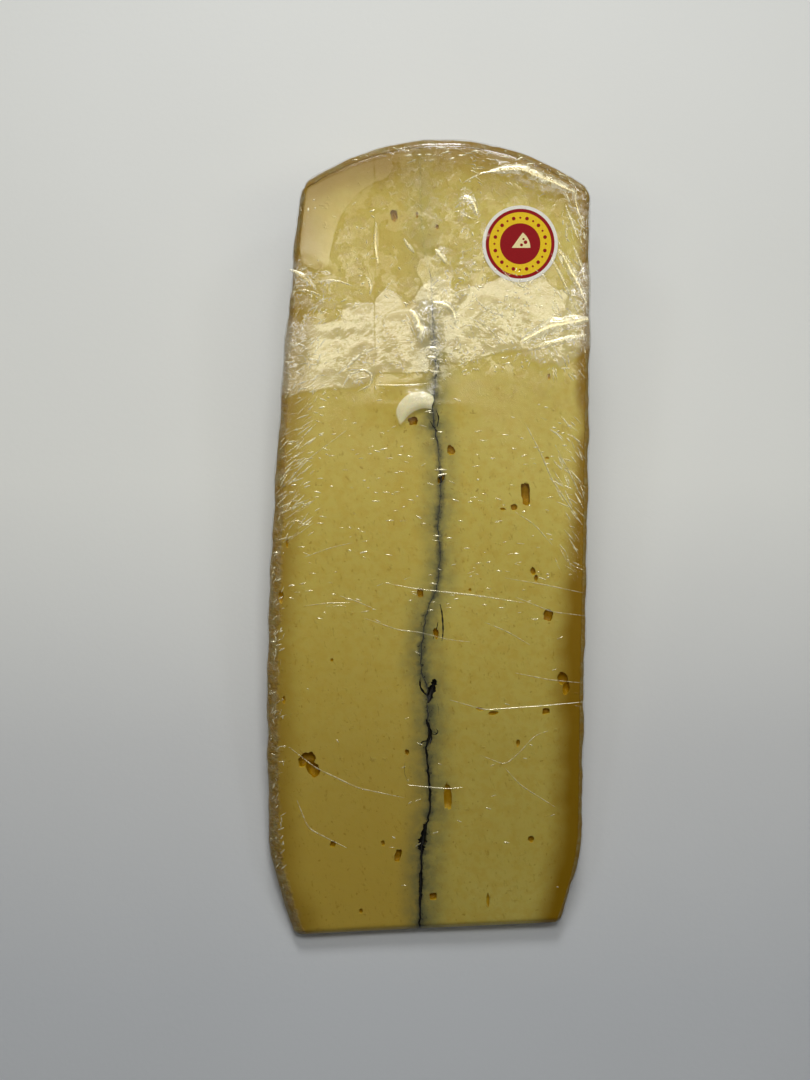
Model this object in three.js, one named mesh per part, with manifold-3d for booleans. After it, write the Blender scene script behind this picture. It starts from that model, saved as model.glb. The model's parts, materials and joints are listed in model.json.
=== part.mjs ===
// A wedge of washed-rind cow's cheese with a line of ash through its middle, wrapped in clear film.
//
// It lies on one of its two cut faces, as it is sold. Units are millimetres.
// +X runs across the wheel's thickness, from one flat rind to the other.
// +Y runs along the wheel's radius, from the thin tip to the heel.
// +Z is up. The tip's bottom edge is at Y = 0 until the last step centres the piece on its own box.

import * as THREE from 'three';
import { mergeVertices } from 'three/addons/utils/BufferGeometryUtils.js';
import Module from 'manifold-3d';

const wasm = await Module();
wasm.setup();

// ---------------------------------------------------------------- driving dimensions

const LENGTH = 178; // tip to the crown of the heel, along the upper cut face's plan
const WEDGE_SLOPE = Math.tan(THREE.MathUtils.degToRad(12.8)); // rise of the upper cut face
const TIP_HEIGHT = 4.5; // the tip is blunt, not a knife edge
const HALF_WIDTH = 36.9; // half of the wheel's thickness where it is widest
const WIDEST_AT = 45; // distance of that place from the tip
const HEEL_NARROWING = 0.0003; // how fast the half width falls with the square of the distance
const TIP_PINCH = 5; // the film draws the tip's corners in by this much
const TIP_PINCH_LENGTH = 22;
const TIP_SKEW = 0.05; // the tip isn't cut quite square: its left end reaches further
const MIDDLE_AT_TIP = -0.6; // the wedge leans a little to one side towards its heel
const MIDDLE_DRIFT = 4.1;
const DRIFT_STARTS = 55;
const DRIFT_LENGTH = 110;
const HEEL_ARC_RADIUS = 57; // the wheel's outer wall is convex
const HEEL_ARC_MIDDLE = 3.2;
const WHEEL_AXIS = -TIP_HEIGHT / WEDGE_SLOPE; // where the two cut faces would meet

const LEFT_ROUND_AT_TIP = 3.2; // the left rind's edge is soft, the right one is nearly sharp
const LEFT_ROUND_AT_HEEL = 1.6;
const RIGHT_ROUND = 1.2;
const HEEL_ROUND = 2;
const TIP_ROUND = 1.5;
const TOP_ROUND_LEFT = 3.2;
const TOP_ROUND_RIGHT = 1.3;
const BOTTOM_ROUND = 1.2;

const ASH_THICKNESS = 0.6;
const ASH_RECESS = 0.2; // the ash lies a little below the cut face
const CRACK_DEPTH = 1.5; // towards the tip the curd has come apart along it
const CRACK_FROM = 52; // the crack runs from here to the tip
const CLEARANCE = 0.3; // free space between neighbouring pieces

const FILM_THICKNESS = 0.3; // a stand-in for film that is far thinner
const FILM_HEM = 0.5; // height of the film's lower edge above the table
const LABEL_DIAMETER = 17;
const LABEL_THICKNESS = 0.25;
const LABEL_ACROSS = 20.6;
const LABEL_ALONG = 155.4;

// The ash line on the upper cut face, by hand, as [along, across]: it wanders as curd does.
const ASH_LINE = [
  [-4, -2], [10.5, -1.6], [18, -1.4], [21, -1.1], [24, -0.4], [29, 0.6], [35, 0.3], [39, -0.1],
  [43, -0.3], [45.5, 0.5], [49.5, 0], [56.5, -0.2], [59.4, -1.3], [63, -1.6], [66, -1.4],
  [70, -0.9], [73, -0.4], [75.6, 0.3], [78, 1.6], [81, 2.3], [87.4, 2.8], [93, 2.2], [101, 2.9],
  [106, 2.7], [112.4, 2], [116, 1.3], [120, 1.1], [128, 1.7], [137, 1.1], [143, 0.8], [149, 0.4],
  [154, -0.8], [162, -1.7], [190, -2],
];

// Eyes and small splits that show in the cut face, as
// [across, along, width, length, turn in degrees, depth].
const EYES = [
  [-7.7, 161.5, 1.6, 3.1, 10, 1.2],
  [22.3, 100.3, 1.8, 5.0, 4, 1.5],
  [19.7, 97.4, 1.4, 1.4, 0, 1.0],
  [5.2, 110.1, 1.8, 2.3, 20, 1.2],
  [3.0, 103.9, 1.5, 2.4, 0, 1.4],
  [-3.5, 116.8, 2.0, 2.0, 0, 1.5],
  [24.4, 82.6, 1.4, 2.4, 8, 1.0],
  [-1.8, 78.0, 1.4, 2.1, 0, 1.1],
  [1.4, 68.9, 1.6, 2.8, 12, 1.2],
  [-33.2, 77.1, 1.4, 2.8, 0, 0.9],
  [27.7, 73.0, 2.1, 2.8, -15, 1.2],
  [31.6, 57.7, 2.8, 5.2, 14, 1.6],
  [-27.9, 40.2, 4.4, 3.4, 25, 1.6],
  [-26.4, 37.6, 2.8, 4.6, 30, 2.4],
  [13.6, 51.0, 4.6, 1.1, -8, 0.9],
  [27.4, 51.5, 1.6, 1.9, 0, 1.0],
  [4.8, 30.4, 1.7, 6.4, 8, 0.8],
  [-22.1, 20.2, 1.5, 1.7, 0, 1.0],
  [-7.0, 17.6, 1.6, 3.1, -14, 1.1],
  [24.2, 21.3, 1.4, 1.7, 0, 0.9],
  [1.3, 7.9, 1.6, 1.7, 0, 1.0],
  [0.2, 55.6, 3.2, 5.2, -12, 2.6],
  [-1.2, 19.9, 1.9, 4.8, -16, 2.2],
];
const LARGEST_EYE_WIDTH = 5;

// A lip of firmer, paler curd stands up beside the ash.
const CURD_LIP = { across: -3.1, along: 120.4, width: 6.8, length: 3.6, rise: 0.7, depth: 1.6, turn: 24 };

// ---------------------------------------------------------------- the wedge's form

const { clamp, degToRad, lerp, mapLinear, smoothstep } = THREE.MathUtils;

/** Height of the upper cut face above the table. */
function heightAt(along) {
  return TIP_HEIGHT + along * WEDGE_SLOPE;
}

/** Half of the wheel's thickness at a distance from the tip. */
function halfWidthAt(along) {
  const pinch = Math.max(0, 1 - along / TIP_PINCH_LENGTH);
  return HALF_WIDTH - HEEL_NARROWING * (along - WIDEST_AT) ** 2 - TIP_PINCH * pinch ** 1.5;
}

/** Where the middle of the wheel's thickness lies. */
function middleAt(along) {
  return MIDDLE_AT_TIP + MIDDLE_DRIFT * Math.max(0, (along - DRIFT_STARTS) / DRIFT_LENGTH) ** 1.35;
}

/** The heel: an arc in plan, turned about the wheel's axis. */
function heelAt(across, up) {
  const side = Math.min(Math.abs(across - HEEL_ARC_MIDDLE), HEEL_ARC_RADIUS * 0.9);
  const top = LENGTH - HEEL_ARC_RADIUS + Math.sqrt(HEEL_ARC_RADIUS ** 2 - side ** 2);
  const radiusSquared = (top - WHEEL_AXIS) ** 2 + heightAt(top) ** 2;
  return Math.sqrt(radiusSquared - up ** 2) + WHEEL_AXIS;
}

const ashCurve = new THREE.CatmullRomCurve3(
  ASH_LINE.map(([along, across]) => new THREE.Vector3(along, across, 0)),
  false,
  'catmullrom',
  0.4,
);
const ashSamples = ashCurve.getPoints(600);

/** Where the ash lies across the wheel: its line on the cut face, swaying as it goes down. */
function ashAt(along, up) {
  const next = Math.max(1, ashSamples.findIndex((point) => point.x >= along));
  const before = ashSamples[next - 1];
  const line = mapLinear(along, before.x, ashSamples[next].x, before.y, ashSamples[next].y);
  const depth = Math.max(0, heightAt(along) - up);
  const sway = 0.9 * Math.sin(along * 0.11 + depth * 0.21) * smoothstep(depth, 1, 9);
  return line + sway;
}

/** Low, uneven relief of the rind, in millimetres outwards. */
function rindRelief(across, along, up) {
  const broad = Math.sin(along * 0.21 + up * 0.13 + across * 0.07) * Math.sin(up * 0.19 - along * 0.05);
  const fine = Math.sin(along * 0.47 + across * 0.33 + 1.7) * Math.cos(up * 0.41 + across * 0.29);
  return 0.3 * broad + 0.15 * fine;
}

/** Gentle waves of the cut face. */
function cutRelief(across, along) {
  return 0.1 * Math.sin(across * 0.17 + along * 0.04) * Math.sin(along * 0.08 + 0.6);
}

/** How far the film stands off the cut face where it crosses the lip of curd. */
function filmLift(across, along) {
  const side = (across - CURD_LIP.across) / 6;
  const ahead = (along - CURD_LIP.along) / 4.5;
  return (CURD_LIP.rise + 0.5) * Math.exp(-(side ** 2) - ahead ** 2);
}

/**
 * Spreads a grid line's place (0 to 1) over a side's size: a few steps cross the rounded band at
 * each end and the rest are even.
 */
function station(place, count, size, startBand, endBand, startSteps, endSteps) {
  const step = place * count;
  if (step < startSteps) {
    return (startBand * step) / startSteps;
  }
  if (step > count - endSteps) {
    return size - (endBand * (count - step)) / endSteps;
  }
  const evenSteps = count - startSteps - endSteps;
  return startBand + ((size - startBand - endBand) * (step - startSteps)) / evenSteps;
}

/** How far a coordinate is into the rounded band at either end of its side, from -1 to 1. */
function bandPlace(value, low, high, lowBand, highBand) {
  if (lowBand > 0 && value < low + lowBand) {
    return (value - low - lowBand) / lowBand;
  }
  if (highBand > 0 && value > high - highBand) {
    return (value - high + highBand) / highBand;
  }
  return 0;
}

/** The inverse of bandPlace, after the corner has been rounded. */
function fromBand(value, place, rounding, low, high, lowBand, highBand) {
  if (place < 0) {
    return low + lowBand + place * rounding * lowBand;
  }
  if (place > 0) {
    return high - highBand + place * rounding * highBand;
  }
  return value;
}

/**
 * The skin of the wedge, or of a layer that lies `offset` outside it, as a function that moves a
 * unit box's vertex to its place. `lift` raises the cut face.
 */
function wedgeSkin({ steps, offset, floor, bottomRound, lift }) {
  const tipRound = TIP_ROUND + offset;
  const heelRound = HEEL_ROUND + offset;
  const rightRound = RIGHT_ROUND + offset;
  const bottomSteps = bottomRound > 0 ? 1 : 0;

  const sidesAt = (along, placeAcross) => {
    const ruled = clamp(along, 0, LENGTH);
    const left = middleAt(ruled) - halfWidthAt(ruled) - offset;
    const right = middleAt(ruled) + halfWidthAt(ruled) + offset;
    const leftRound = lerp(LEFT_ROUND_AT_TIP, LEFT_ROUND_AT_HEEL, smoothstep(ruled, 80, 150)) + offset;
    const across = left + station(placeAcross, steps.across, right - left, leftRound, rightRound, 2, 2);
    return { left, right, leftRound, across };
  };
  const levelsAt = (along, placeAcross, placeUp) => {
    const top = heightAt(clamp(along, 0, LENGTH)) + offset;
    const sideRound = lerp(TOP_ROUND_LEFT, TOP_ROUND_RIGHT, placeAcross);
    const topRound = Math.min(sideRound, TIP_HEIGHT * 0.6) + offset;
    const up = floor + station(placeUp, steps.up, top - floor, bottomRound, topRound, bottomSteps, 2);
    return { top, topRound, up };
  };

  return (vertex) => {
    const [placeAcross, placeAlong, placeUp] = [vertex.x + 0.5, vertex.y + 0.5, vertex.z + 0.5];
    const acrossAtHeel = sidesAt(LENGTH, placeAcross).across;
    const upAtHeel = Math.max(0, levelsAt(LENGTH, placeAcross, placeUp).up);
    const heel = heelAt(acrossAtHeel, upAtHeel) + offset;
    const tip = TIP_SKEW * sidesAt(0, placeAcross).across - offset;
    let along = tip + station(placeAlong, steps.along, heel - tip, tipRound, heelRound, 2, 2);
    const { left, right, leftRound, ...sides } = sidesAt(along, placeAcross);
    const { top, topRound, ...levels } = levelsAt(along, placeAcross, placeUp);
    let { across } = sides;
    let { up } = levels;

    const intoAcross = bandPlace(across, left, right, leftRound, rightRound);
    const intoAlong = bandPlace(along, tip, heel, tipRound, heelRound);
    const intoUp = bandPlace(up, floor, top, bottomRound, topRound);
    const reach = Math.hypot(intoAcross, intoAlong, intoUp);
    if (reach > 0) {
      const furthest = Math.max(Math.abs(intoAcross), Math.abs(intoAlong), Math.abs(intoUp));
      const rounding = furthest / reach;
      across = fromBand(across, intoAcross, rounding, left, right, leftRound, rightRound);
      along = fromBand(along, intoAlong, rounding, tip, heel, tipRound, heelRound);
      up = fromBand(up, intoUp, rounding, floor, top, bottomRound, topRound);
    }

    const relief = rindRelief(across, along, up) * smoothstep(up, 0.5, 5);
    across += relief * intoAcross * Math.abs(intoAcross);
    along += relief * Math.max(0, intoAlong);
    up += (cutRelief(across, along) + lift(across, along)) * Math.max(0, intoUp);
    vertex.set(across, along, up);
  };
}

// ---------------------------------------------------------------- solids

/** A closed unit box of welded vertices, each moved to its place by `move`. */
function mappedBox(steps, move) {
  const box = new THREE.BoxGeometry(1, 1, 1, steps.across, steps.along, steps.up);
  box.deleteAttribute('normal');
  box.deleteAttribute('uv');
  const welded = mergeVertices(box, 1e-5);
  const places = welded.attributes.position;
  const vertex = new THREE.Vector3();
  for (let index = 0; index < places.count; index += 1) {
    vertex.fromBufferAttribute(places, index);
    move(vertex);
    places.setXYZ(index, vertex.x, vertex.y, vertex.z);
  }
  return welded;
}

/** A three.js geometry as a solid that can be joined and cut. */
function toSolid(geometry) {
  geometry.deleteAttribute('normal');
  geometry.deleteAttribute('uv');
  const welded = mergeVertices(geometry, 1e-5);
  return new wasm.Manifold(new wasm.Mesh({
    numProp: 3,
    vertProperties: new Float32Array(welded.attributes.position.array),
    triVerts: new Uint32Array(welded.index.array),
  }));
}

/** A solid as a three.js geometry again. */
function toGeometry(solid) {
  const mesh = solid.getMesh();
  const geometry = new THREE.BufferGeometry();
  geometry.setAttribute('position', new THREE.BufferAttribute(mesh.vertProperties, 3));
  geometry.setIndex(new THREE.BufferAttribute(mesh.triVerts, 1));
  geometry.computeVertexNormals();
  return geometry;
}

/** An ellipsoid on the cut face, turned about the upright axis. */
function pebble(across, along, width, length, depth, turnDegrees, rise) {
  const geometry = new THREE.IcosahedronGeometry(1, 1);
  geometry.scale(width / 2, length / 2, depth);
  geometry.rotateZ(degToRad(turnDegrees));
  geometry.rotateX(Math.atan(WEDGE_SLOPE));
  geometry.translate(across, along, heightAt(along) + rise);
  return toSolid(geometry);
}

/** Cuts the eyes that reach between two limits across out of a solid. */
function cutEyes(solid, leftLimit, rightLimit) {
  return EYES.reduce((rest, [across, along, width, length, turn, depth]) => {
    const reach = LARGEST_EYE_WIDTH / 2;
    if (across + reach < leftLimit || across - reach > rightLimit) {
      return rest;
    }
    return rest.subtract(pebble(across, along, width, length, depth, turn, 0));
  }, solid);
}

/**
 * Everything between two walls that follow the ash line, each moved sideways by its own amount.
 * An infinite move stands for a flat wall outside the wedge.
 */
function betweenAshWalls(leftMove, rightMove) {
  const [low, high] = [-2, heightAt(LENGTH) + 4];
  const [start, end] = [ASH_LINE[0][0], LENGTH + 10];
  const wall = (move, along, up) => (Number.isFinite(move) ? ashAt(along, up) + move : Math.sign(move) * 60);
  return toSolid(mappedBox({ across: 1, along: 60, up: 6 }, (vertex) => {
    const along = lerp(start, end, vertex.y + 0.5);
    const up = lerp(low, high, vertex.z + 0.5);
    vertex.set(wall(vertex.x < 0 ? leftMove : rightMove, along, up), along, up);
  }));
}

const WEDGE_STEPS = { across: 12, along: 42, up: 5 };
const halfAsh = ASH_THICKNESS / 2;
const noLift = () => 0;
const wholeWedge = toSolid(mappedBox(WEDGE_STEPS, wedgeSkin({
  steps: WEDGE_STEPS, offset: 0, floor: 0, bottomRound: BOTTOM_ROUND, lift: noLift,
})));

/** The curd of one milking, on the left of the ash, with the lip of curd that stands up from it. */
function makeLeftPaste() {
  const lip = CURD_LIP;
  const raised = pebble(lip.across, lip.along, lip.width, lip.length, lip.depth, lip.turn, lip.rise - lip.depth);
  const otherSide = betweenAshWalls(-halfAsh - CLEARANCE, Infinity);
  return cutEyes(wholeWedge.add(raised).subtract(otherSide), -HALF_WIDTH, 4);
}

/** The curd of the other milking, on the right of the ash. */
function makeRightPaste() {
  const otherSide = betweenAshWalls(-Infinity, halfAsh + CLEARANCE);
  return cutEyes(wholeWedge.subtract(otherSide), -4, HALF_WIDTH + MIDDLE_DRIFT);
}

/** The layer of ash and of the curd that it has stained, right through the wedge. */
function makeAshLayer() {
  const core = toSolid(mappedBox(WEDGE_STEPS, wedgeSkin({
    steps: WEDGE_STEPS,
    offset: -ASH_RECESS,
    floor: CLEARANCE,
    bottomRound: 0,
    lift: (across, along) => -CRACK_DEPTH * (1 - smoothstep(along, CRACK_FROM - 6, CRACK_FROM)),
  })));
  return cutEyes(core.intersect(betweenAshWalls(-halfAsh, halfAsh)), -4, 4);
}

/** Clear film drawn tight over the piece, open underneath where the piece lies on it. */
function makeFilm() {
  const steps = { across: 12, along: 28, up: 4 };
  const makeSkin = (offset, floor) => toSolid(mappedBox(steps, wedgeSkin({
    steps, offset, floor, bottomRound: 0, lift: filmLift,
  })));
  const outside = makeSkin(CLEARANCE + FILM_THICKNESS, FILM_HEM);
  const inside = makeSkin(CLEARANCE, -1);
  return outside.subtract(inside);
}

/** A round paper label on the film, following the cut face's slope. */
function makeLabel() {
  const geometry = new THREE.CylinderGeometry(LABEL_DIAMETER / 2, LABEL_DIAMETER / 2, LABEL_THICKNESS, 48);
  geometry.rotateX(Math.PI / 2);
  geometry.rotateX(Math.atan(WEDGE_SLOPE));
  const filmTop = 2 * CLEARANCE + FILM_THICKNESS + 0.1;
  const relief = cutRelief(LABEL_ACROSS, LABEL_ALONG);
  geometry.translate(
    LABEL_ACROSS,
    LABEL_ALONG,
    heightAt(LABEL_ALONG) + filmTop + LABEL_THICKNESS / 2 + relief,
  );
  return toSolid(geometry);
}

// ---------------------------------------------------------------- finishes and the group

const curd = { color: 0xcdb668, roughness: 0.45, metalness: 0 };
const ash = { color: 0x45464a, roughness: 0.8, metalness: 0 };
const film = { color: 0xf4f6f6, roughness: 0.08, metalness: 0, transparent: true, opacity: 0.2 };
const paper = { color: 0xb01f26, roughness: 0.4, metalness: 0 };

const PIECES = [
  ['paste_left', makeLeftPaste, curd],
  ['ash_layer', makeAshLayer, ash],
  ['paste_right', makeRightPaste, { ...curd, color: 0xcbb56a }],
  ['film_wrap', makeFilm, film],
  ['label', makeLabel, paper],
];

const group = new THREE.Group();
for (const [name, makeSolid, finish] of PIECES) {
  const mesh = new THREE.Mesh(toGeometry(makeSolid()), new THREE.MeshStandardMaterial(finish));
  mesh.name = name;
  group.add(mesh);
}

const extent = new THREE.Box3().setFromObject(group);
const centre = extent.getCenter(new THREE.Vector3());
group.position.set(-centre.x, -centre.y, -extent.min.z);

export default group;
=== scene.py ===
"""Looks of a wedge of washed-rind cheese with a line of ash, drawn tight in clear film.

The wedge lies on one cut face, its thin tip towards -Y and its heel towards +Y. Forms are worked
out in millimetres in the wedge's own directions (across the wheel, along its radius, up) and are
moved into the frame, in metres, as the last step of each build.
"""

from __future__ import annotations

import json
import logging
import math
import random
import sys
from collections.abc import Callable, Iterable, Iterator, Sequence
from dataclasses import dataclass, field
from enum import Enum

import bmesh
import bpy
import numpy as np
from mathutils import Matrix, Vector, noise

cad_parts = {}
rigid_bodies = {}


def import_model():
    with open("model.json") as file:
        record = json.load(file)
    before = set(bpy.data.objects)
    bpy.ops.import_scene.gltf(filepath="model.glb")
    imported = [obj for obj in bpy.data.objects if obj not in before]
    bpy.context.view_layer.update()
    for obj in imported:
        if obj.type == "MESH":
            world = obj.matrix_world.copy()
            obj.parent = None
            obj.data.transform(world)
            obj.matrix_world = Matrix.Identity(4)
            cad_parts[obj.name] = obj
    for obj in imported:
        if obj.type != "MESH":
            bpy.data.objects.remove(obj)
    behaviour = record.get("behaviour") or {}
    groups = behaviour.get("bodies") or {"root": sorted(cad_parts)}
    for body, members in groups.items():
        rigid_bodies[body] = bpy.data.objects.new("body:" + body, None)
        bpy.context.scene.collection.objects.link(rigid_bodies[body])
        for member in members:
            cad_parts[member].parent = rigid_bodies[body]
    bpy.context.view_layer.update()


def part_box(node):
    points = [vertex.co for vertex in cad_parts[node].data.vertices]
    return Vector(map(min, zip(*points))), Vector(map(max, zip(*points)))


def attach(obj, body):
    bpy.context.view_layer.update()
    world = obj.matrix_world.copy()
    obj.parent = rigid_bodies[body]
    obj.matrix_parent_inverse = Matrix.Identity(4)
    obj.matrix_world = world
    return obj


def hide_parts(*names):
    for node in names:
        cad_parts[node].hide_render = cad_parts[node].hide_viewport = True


log = logging.getLogger("cheese")

Array = np.ndarray
BMesh = bmesh.types.BMesh
Material = bpy.types.Material
Piece = bpy.types.Object
Socket = bpy.types.NodeSocket
Pair = tuple[float, float]
Route = tuple[Pair, ...]
Triple = tuple[float, float, float]
Colour = Triple

MM = 0.001
FRAME_WIDTH_PX = 810
FRAME_HEIGHT_PX = 1080
SENSOR_MM = 36.0
SHARP_FROM_DEGREES = 50.0
FLOAT_GUARD = 1e-9
EVEN: Triple = (1.0, 1.0, 1.0)


# ---------------------------------------------------------------- small helpers


def smoothstep(value: Array | float, low: float, high: float) -> Array | float:
    """Ease from 0 at `low` to 1 at `high`."""
    ramp = np.clip((value - low) / (high - low), 0.0, 1.0)
    return ramp * ramp * (3.0 - 2.0 * ramp)


def lerp(start: Array | float, end: Array | float, share: Array | float) -> Array | float:
    """Mix from `start` to `end`."""
    return start + (end - start) * share


def noise_at(points: Array, size: float, seed: float = 0.0) -> Array:
    """Smooth noise, about -1 to 1, at each point.

    Args:
        points: Places in millimetres, one row each.
        size: Size of the noise's lumps in millimetres.
        seed: Moves the noise to another part of its field.

    Returns:
        One value for each point.
    """
    moved = points / size + (seed * 17.3, seed * 5.1, seed * 11.7)
    return np.array([noise.noise(point) for point in moved])


def facets_at(points: Array, size: float, seed: float = 0.0) -> Array:
    """Crushed-sheet relief, 0 to about 1: cones that meet in sharp creases.

    Args:
        points: Places in millimetres, one row each.
        size: Size of a facet in millimetres.
        seed: Moves the pattern to another part of its field.

    Returns:
        One value for each point.
    """
    moved = points / size + (seed * 9.1, seed * 3.7, seed * 6.3)
    return np.array([noise.voronoi(point)[0][0] for point in moved])


# ---------------------------------------------------------------- the wedge's form


class Side(Enum):
    """Which milking's curd, seen from above with the tip towards the viewer."""

    LEFT = "left"
    RIGHT = "right"


@dataclass(frozen=True)
class Grid:
    """How finely a box is cut, and how many steps cross the band at each of its edges.

    Attributes:
        across: Steps across the wheel's thickness.
        along: Steps from tip to heel.
        up: Steps from table to cut face.
        band: Steps that cross a rounded edge.
    """

    across: int
    along: int
    up: int
    band: int


@dataclass(frozen=True)
class WedgeForm:
    """The cheese's form: the same named sizes as the solids it dresses, in millimetres."""

    length: float = 178.0
    slope_degrees: float = 12.8
    tip_height: float = 4.5
    tip_skew: float = 0.05
    half_width: float = 36.9
    widest_at: float = 45.0
    heel_narrowing: float = 0.0003
    tip_pinch: float = 5.0
    tip_pinch_length: float = 22.0
    middle_at_tip: float = -0.6
    middle_drift: float = 4.1
    drift_starts: float = 55.0
    drift_length: float = 110.0
    heel_arc_radius: float = 57.0
    heel_arc_middle: float = 3.2
    left_round_at_tip: float = 3.2
    left_round_at_heel: float = 1.6
    right_round: float = 1.2
    heel_round: float = 2.0
    tip_round: float = 1.5
    soft_edge_fades: Pair = (80.0, 150.0)
    top_round_left: float = 3.2
    top_round_right: float = 1.3
    bottom_round: float = 1.2
    ash_tension: float = 0.4
    ash_line: Route = (
        (-4, -2), (10.5, -1.6), (18, -1.4), (21, -1.1), (24, -0.4), (29, 0.6), (35, 0.3), (39, -0.1),
        (43, -0.3), (45.5, 0.5), (49.5, 0), (56.5, -0.2), (59.4, -1.3), (63, -1.6), (66, -1.4),
        (70, -0.9), (73, -0.4), (75.6, 0.3), (78, 1.6), (81, 2.3), (87.4, 2.8), (93, 2.2), (101, 2.9),
        (106, 2.7), (112.4, 2), (116, 1.3), (120, 1.1), (128, 1.7), (137, 1.1), (143, 0.8), (149, 0.4),
        (154, -0.8), (162, -1.7), (190, -2),
    )
    heel_edge_back: float = 3.2
    label_across: float = 20.6
    label_along: float = 155.4

    @property
    def slope(self) -> float:
        """Rise of the upper cut face for each millimetre along."""
        return math.tan(math.radians(self.slope_degrees))

    def height(self, along: Array | float) -> Array | float:
        """Height of the upper cut face."""
        return self.tip_height + np.clip(along, 0.0, self.length) * self.slope

    def half_width_at(self, along: Array | float) -> Array | float:
        """Half of the wheel's thickness."""
        pinch = np.maximum(0.0, 1.0 - along / self.tip_pinch_length) ** 1.5
        narrowing = self.heel_narrowing * (along - self.widest_at) ** 2
        return self.half_width - narrowing - self.tip_pinch * pinch

    def middle(self, along: Array | float) -> Array | float:
        """Where the middle of the wheel's thickness lies across."""
        drift = np.maximum(0.0, (along - self.drift_starts) / self.drift_length) ** 1.35
        return self.middle_at_tip + self.middle_drift * drift

    def walls(self, along: Array | float, offset: float = 0.0) -> tuple[Array, Array]:
        """The left and right rinds' places across, moved outwards by `offset`."""
        ruled = np.clip(along, 0.0, self.length)
        half = self.half_width_at(ruled) + offset
        return self.middle(ruled) - half, self.middle(ruled) + half

    def heel(self, across: Array, up: Array) -> Array:
        """Where the heel's wall lies along: an arc in plan, turned about the wheel's axis."""
        side = np.minimum(np.abs(across - self.heel_arc_middle), self.heel_arc_radius * 0.9)
        top = self.length - self.heel_arc_radius + np.sqrt(self.heel_arc_radius**2 - side**2)
        axis = -self.tip_height / self.slope
        radius_squared = (top - axis) ** 2 + (self.tip_height + top * self.slope) ** 2
        return np.sqrt(radius_squared - up**2) + axis

    def ash_samples(self) -> tuple[Array, Array]:
        """The ash line on the cut face as close points of a Catmull-Rom curve."""
        points = np.array(self.ash_line, float)
        before = np.vstack([2 * points[0] - points[1], points[:-1]])
        after = np.vstack([points[1:], 2 * points[-1] - points[-2]])
        tangents = self.ash_tension * (after - before)
        share = np.linspace(0.0, 1.0, 24, endpoint=False)[:, None]
        spans = []
        for start, end, leave, arrive in zip(points[:-1], points[1:], tangents[:-1], tangents[1:]):
            cubic = 2 * start - 2 * end + leave + arrive
            square = -3 * start + 3 * end - 2 * leave - arrive
            spans.append(cubic * share**3 + square * share**2 + leave * share + start)
        curve = np.vstack([*spans, points[-1:]])
        return curve[:, 0], curve[:, 1]

    def ash(self, along: Array, up: Array) -> Array:
        """Where the ash lies across: its line on the cut face, swaying as it goes down."""
        line_along, line_across = self.ash_samples()
        line = np.interp(along, line_along, line_across) + self.ash_jag(along)
        depth = np.maximum(0.0, self.height(along) - up)
        return line + 0.9 * np.sin(along * 0.11 + depth * 0.21) * smoothstep(depth, 1.0, 9.0)

    def ash_jag(self, along: Array) -> Array:
        """The line's small, sharp kinks."""
        coarse = np.sin(along * 2.3 + 1.4 * np.sin(along * 0.71)) * np.sin(along * 0.53 + 0.8)
        fine = np.sin(along * 5.9 + 2.1 * np.sin(along * 1.3 + 0.4))
        return 0.16 * coarse + 0.06 * fine

    def rind_relief(self, points: Array) -> Array:
        """Low, uneven relief of the rind, outwards."""
        across, along, up = points.T
        broad = np.sin(along * 0.21 + up * 0.13 + across * 0.07) * np.sin(up * 0.19 - along * 0.05)
        fine = np.sin(along * 0.47 + across * 0.33 + 1.7) * np.cos(up * 0.41 + across * 0.29)
        return 0.3 * broad + 0.15 * fine

    def cut_relief(self, across: Array, along: Array) -> Array:
        """Gentle waves of the cut face."""
        return 0.1 * np.sin(across * 0.17 + along * 0.04) * np.sin(along * 0.08 + 0.6)

    def face_height(self, across: Array | float, along: Array | float) -> Array | float:
        """Height of the cut face with its waves."""
        return self.height(along) + self.cut_relief(across, along)

    def rind_depth(self, points: Array) -> Array:
        """How far inside the nearest rind each point lies."""
        across, along, up = points.T
        left, right = self.walls(along)
        return np.minimum(np.minimum(across - left, right - across), self.heel(across, up) - along)

    def left_round(self, along: Array) -> Array:
        """Rounding of the left rind's upper edge, softer towards the thin end."""
        share = smoothstep(along, *self.soft_edge_fades)
        return lerp(self.left_round_at_tip, self.left_round_at_heel, share)

    def skin_share(self, points: Array) -> Array:
        """1 on the rind and its rounded edges, 0 on the cut faces inside them."""
        across, along, up = points.T
        left, right = self.walls(along)
        bands = (
            (across - left) / self.left_round(along),
            (right - across) / self.right_round,
            (self.heel(across, up) - along) / self.heel_round,
        )
        return 1.0 - smoothstep(np.min(bands, axis=0), 0.45, 1.05)

    def warmth(self, points: Array) -> Array:
        """How brown the curd is on its way to each rind, 0 to 1."""
        across, along, up = points.T
        left, right = self.walls(along)
        ragged = 1.3 * noise_at(points, 9.0, 11.0) + 0.5 * noise_at(points, 3.0, 12.0)
        from_left = 0.80 * (1.0 - smoothstep(across - left + ragged, 0.5, 9.5))
        narrower = lerp(1.0, 2.6, smoothstep(along, 75.0, 125.0))
        from_right = 1.15 * (1.0 - smoothstep((right - across + ragged) * narrower, 1.0, 9.5))
        near_heel = self.heel(across, up) - along + 2.0 * ragged
        from_heel = 0.90 * (1.0 - smoothstep(near_heel, 1.0, 14.0))
        return np.clip(np.max([from_left, from_right, from_heel], axis=0), 0.0, 1.0)

    def heel_at(self, across: float) -> float:
        """How far along the wide end lies, at the height of the cut face just before it."""
        up = self.height(self.length - self.heel_edge_back)
        return float(self.heel(np.array([across]), np.array([up]))[0])

    def ash_distance(self, points: Array) -> Array:
        """How far across each point lies from the ash, positive to its right."""
        across, along, up = points.T
        return across - self.ash(along, up)


FORM = WedgeForm()


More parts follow.
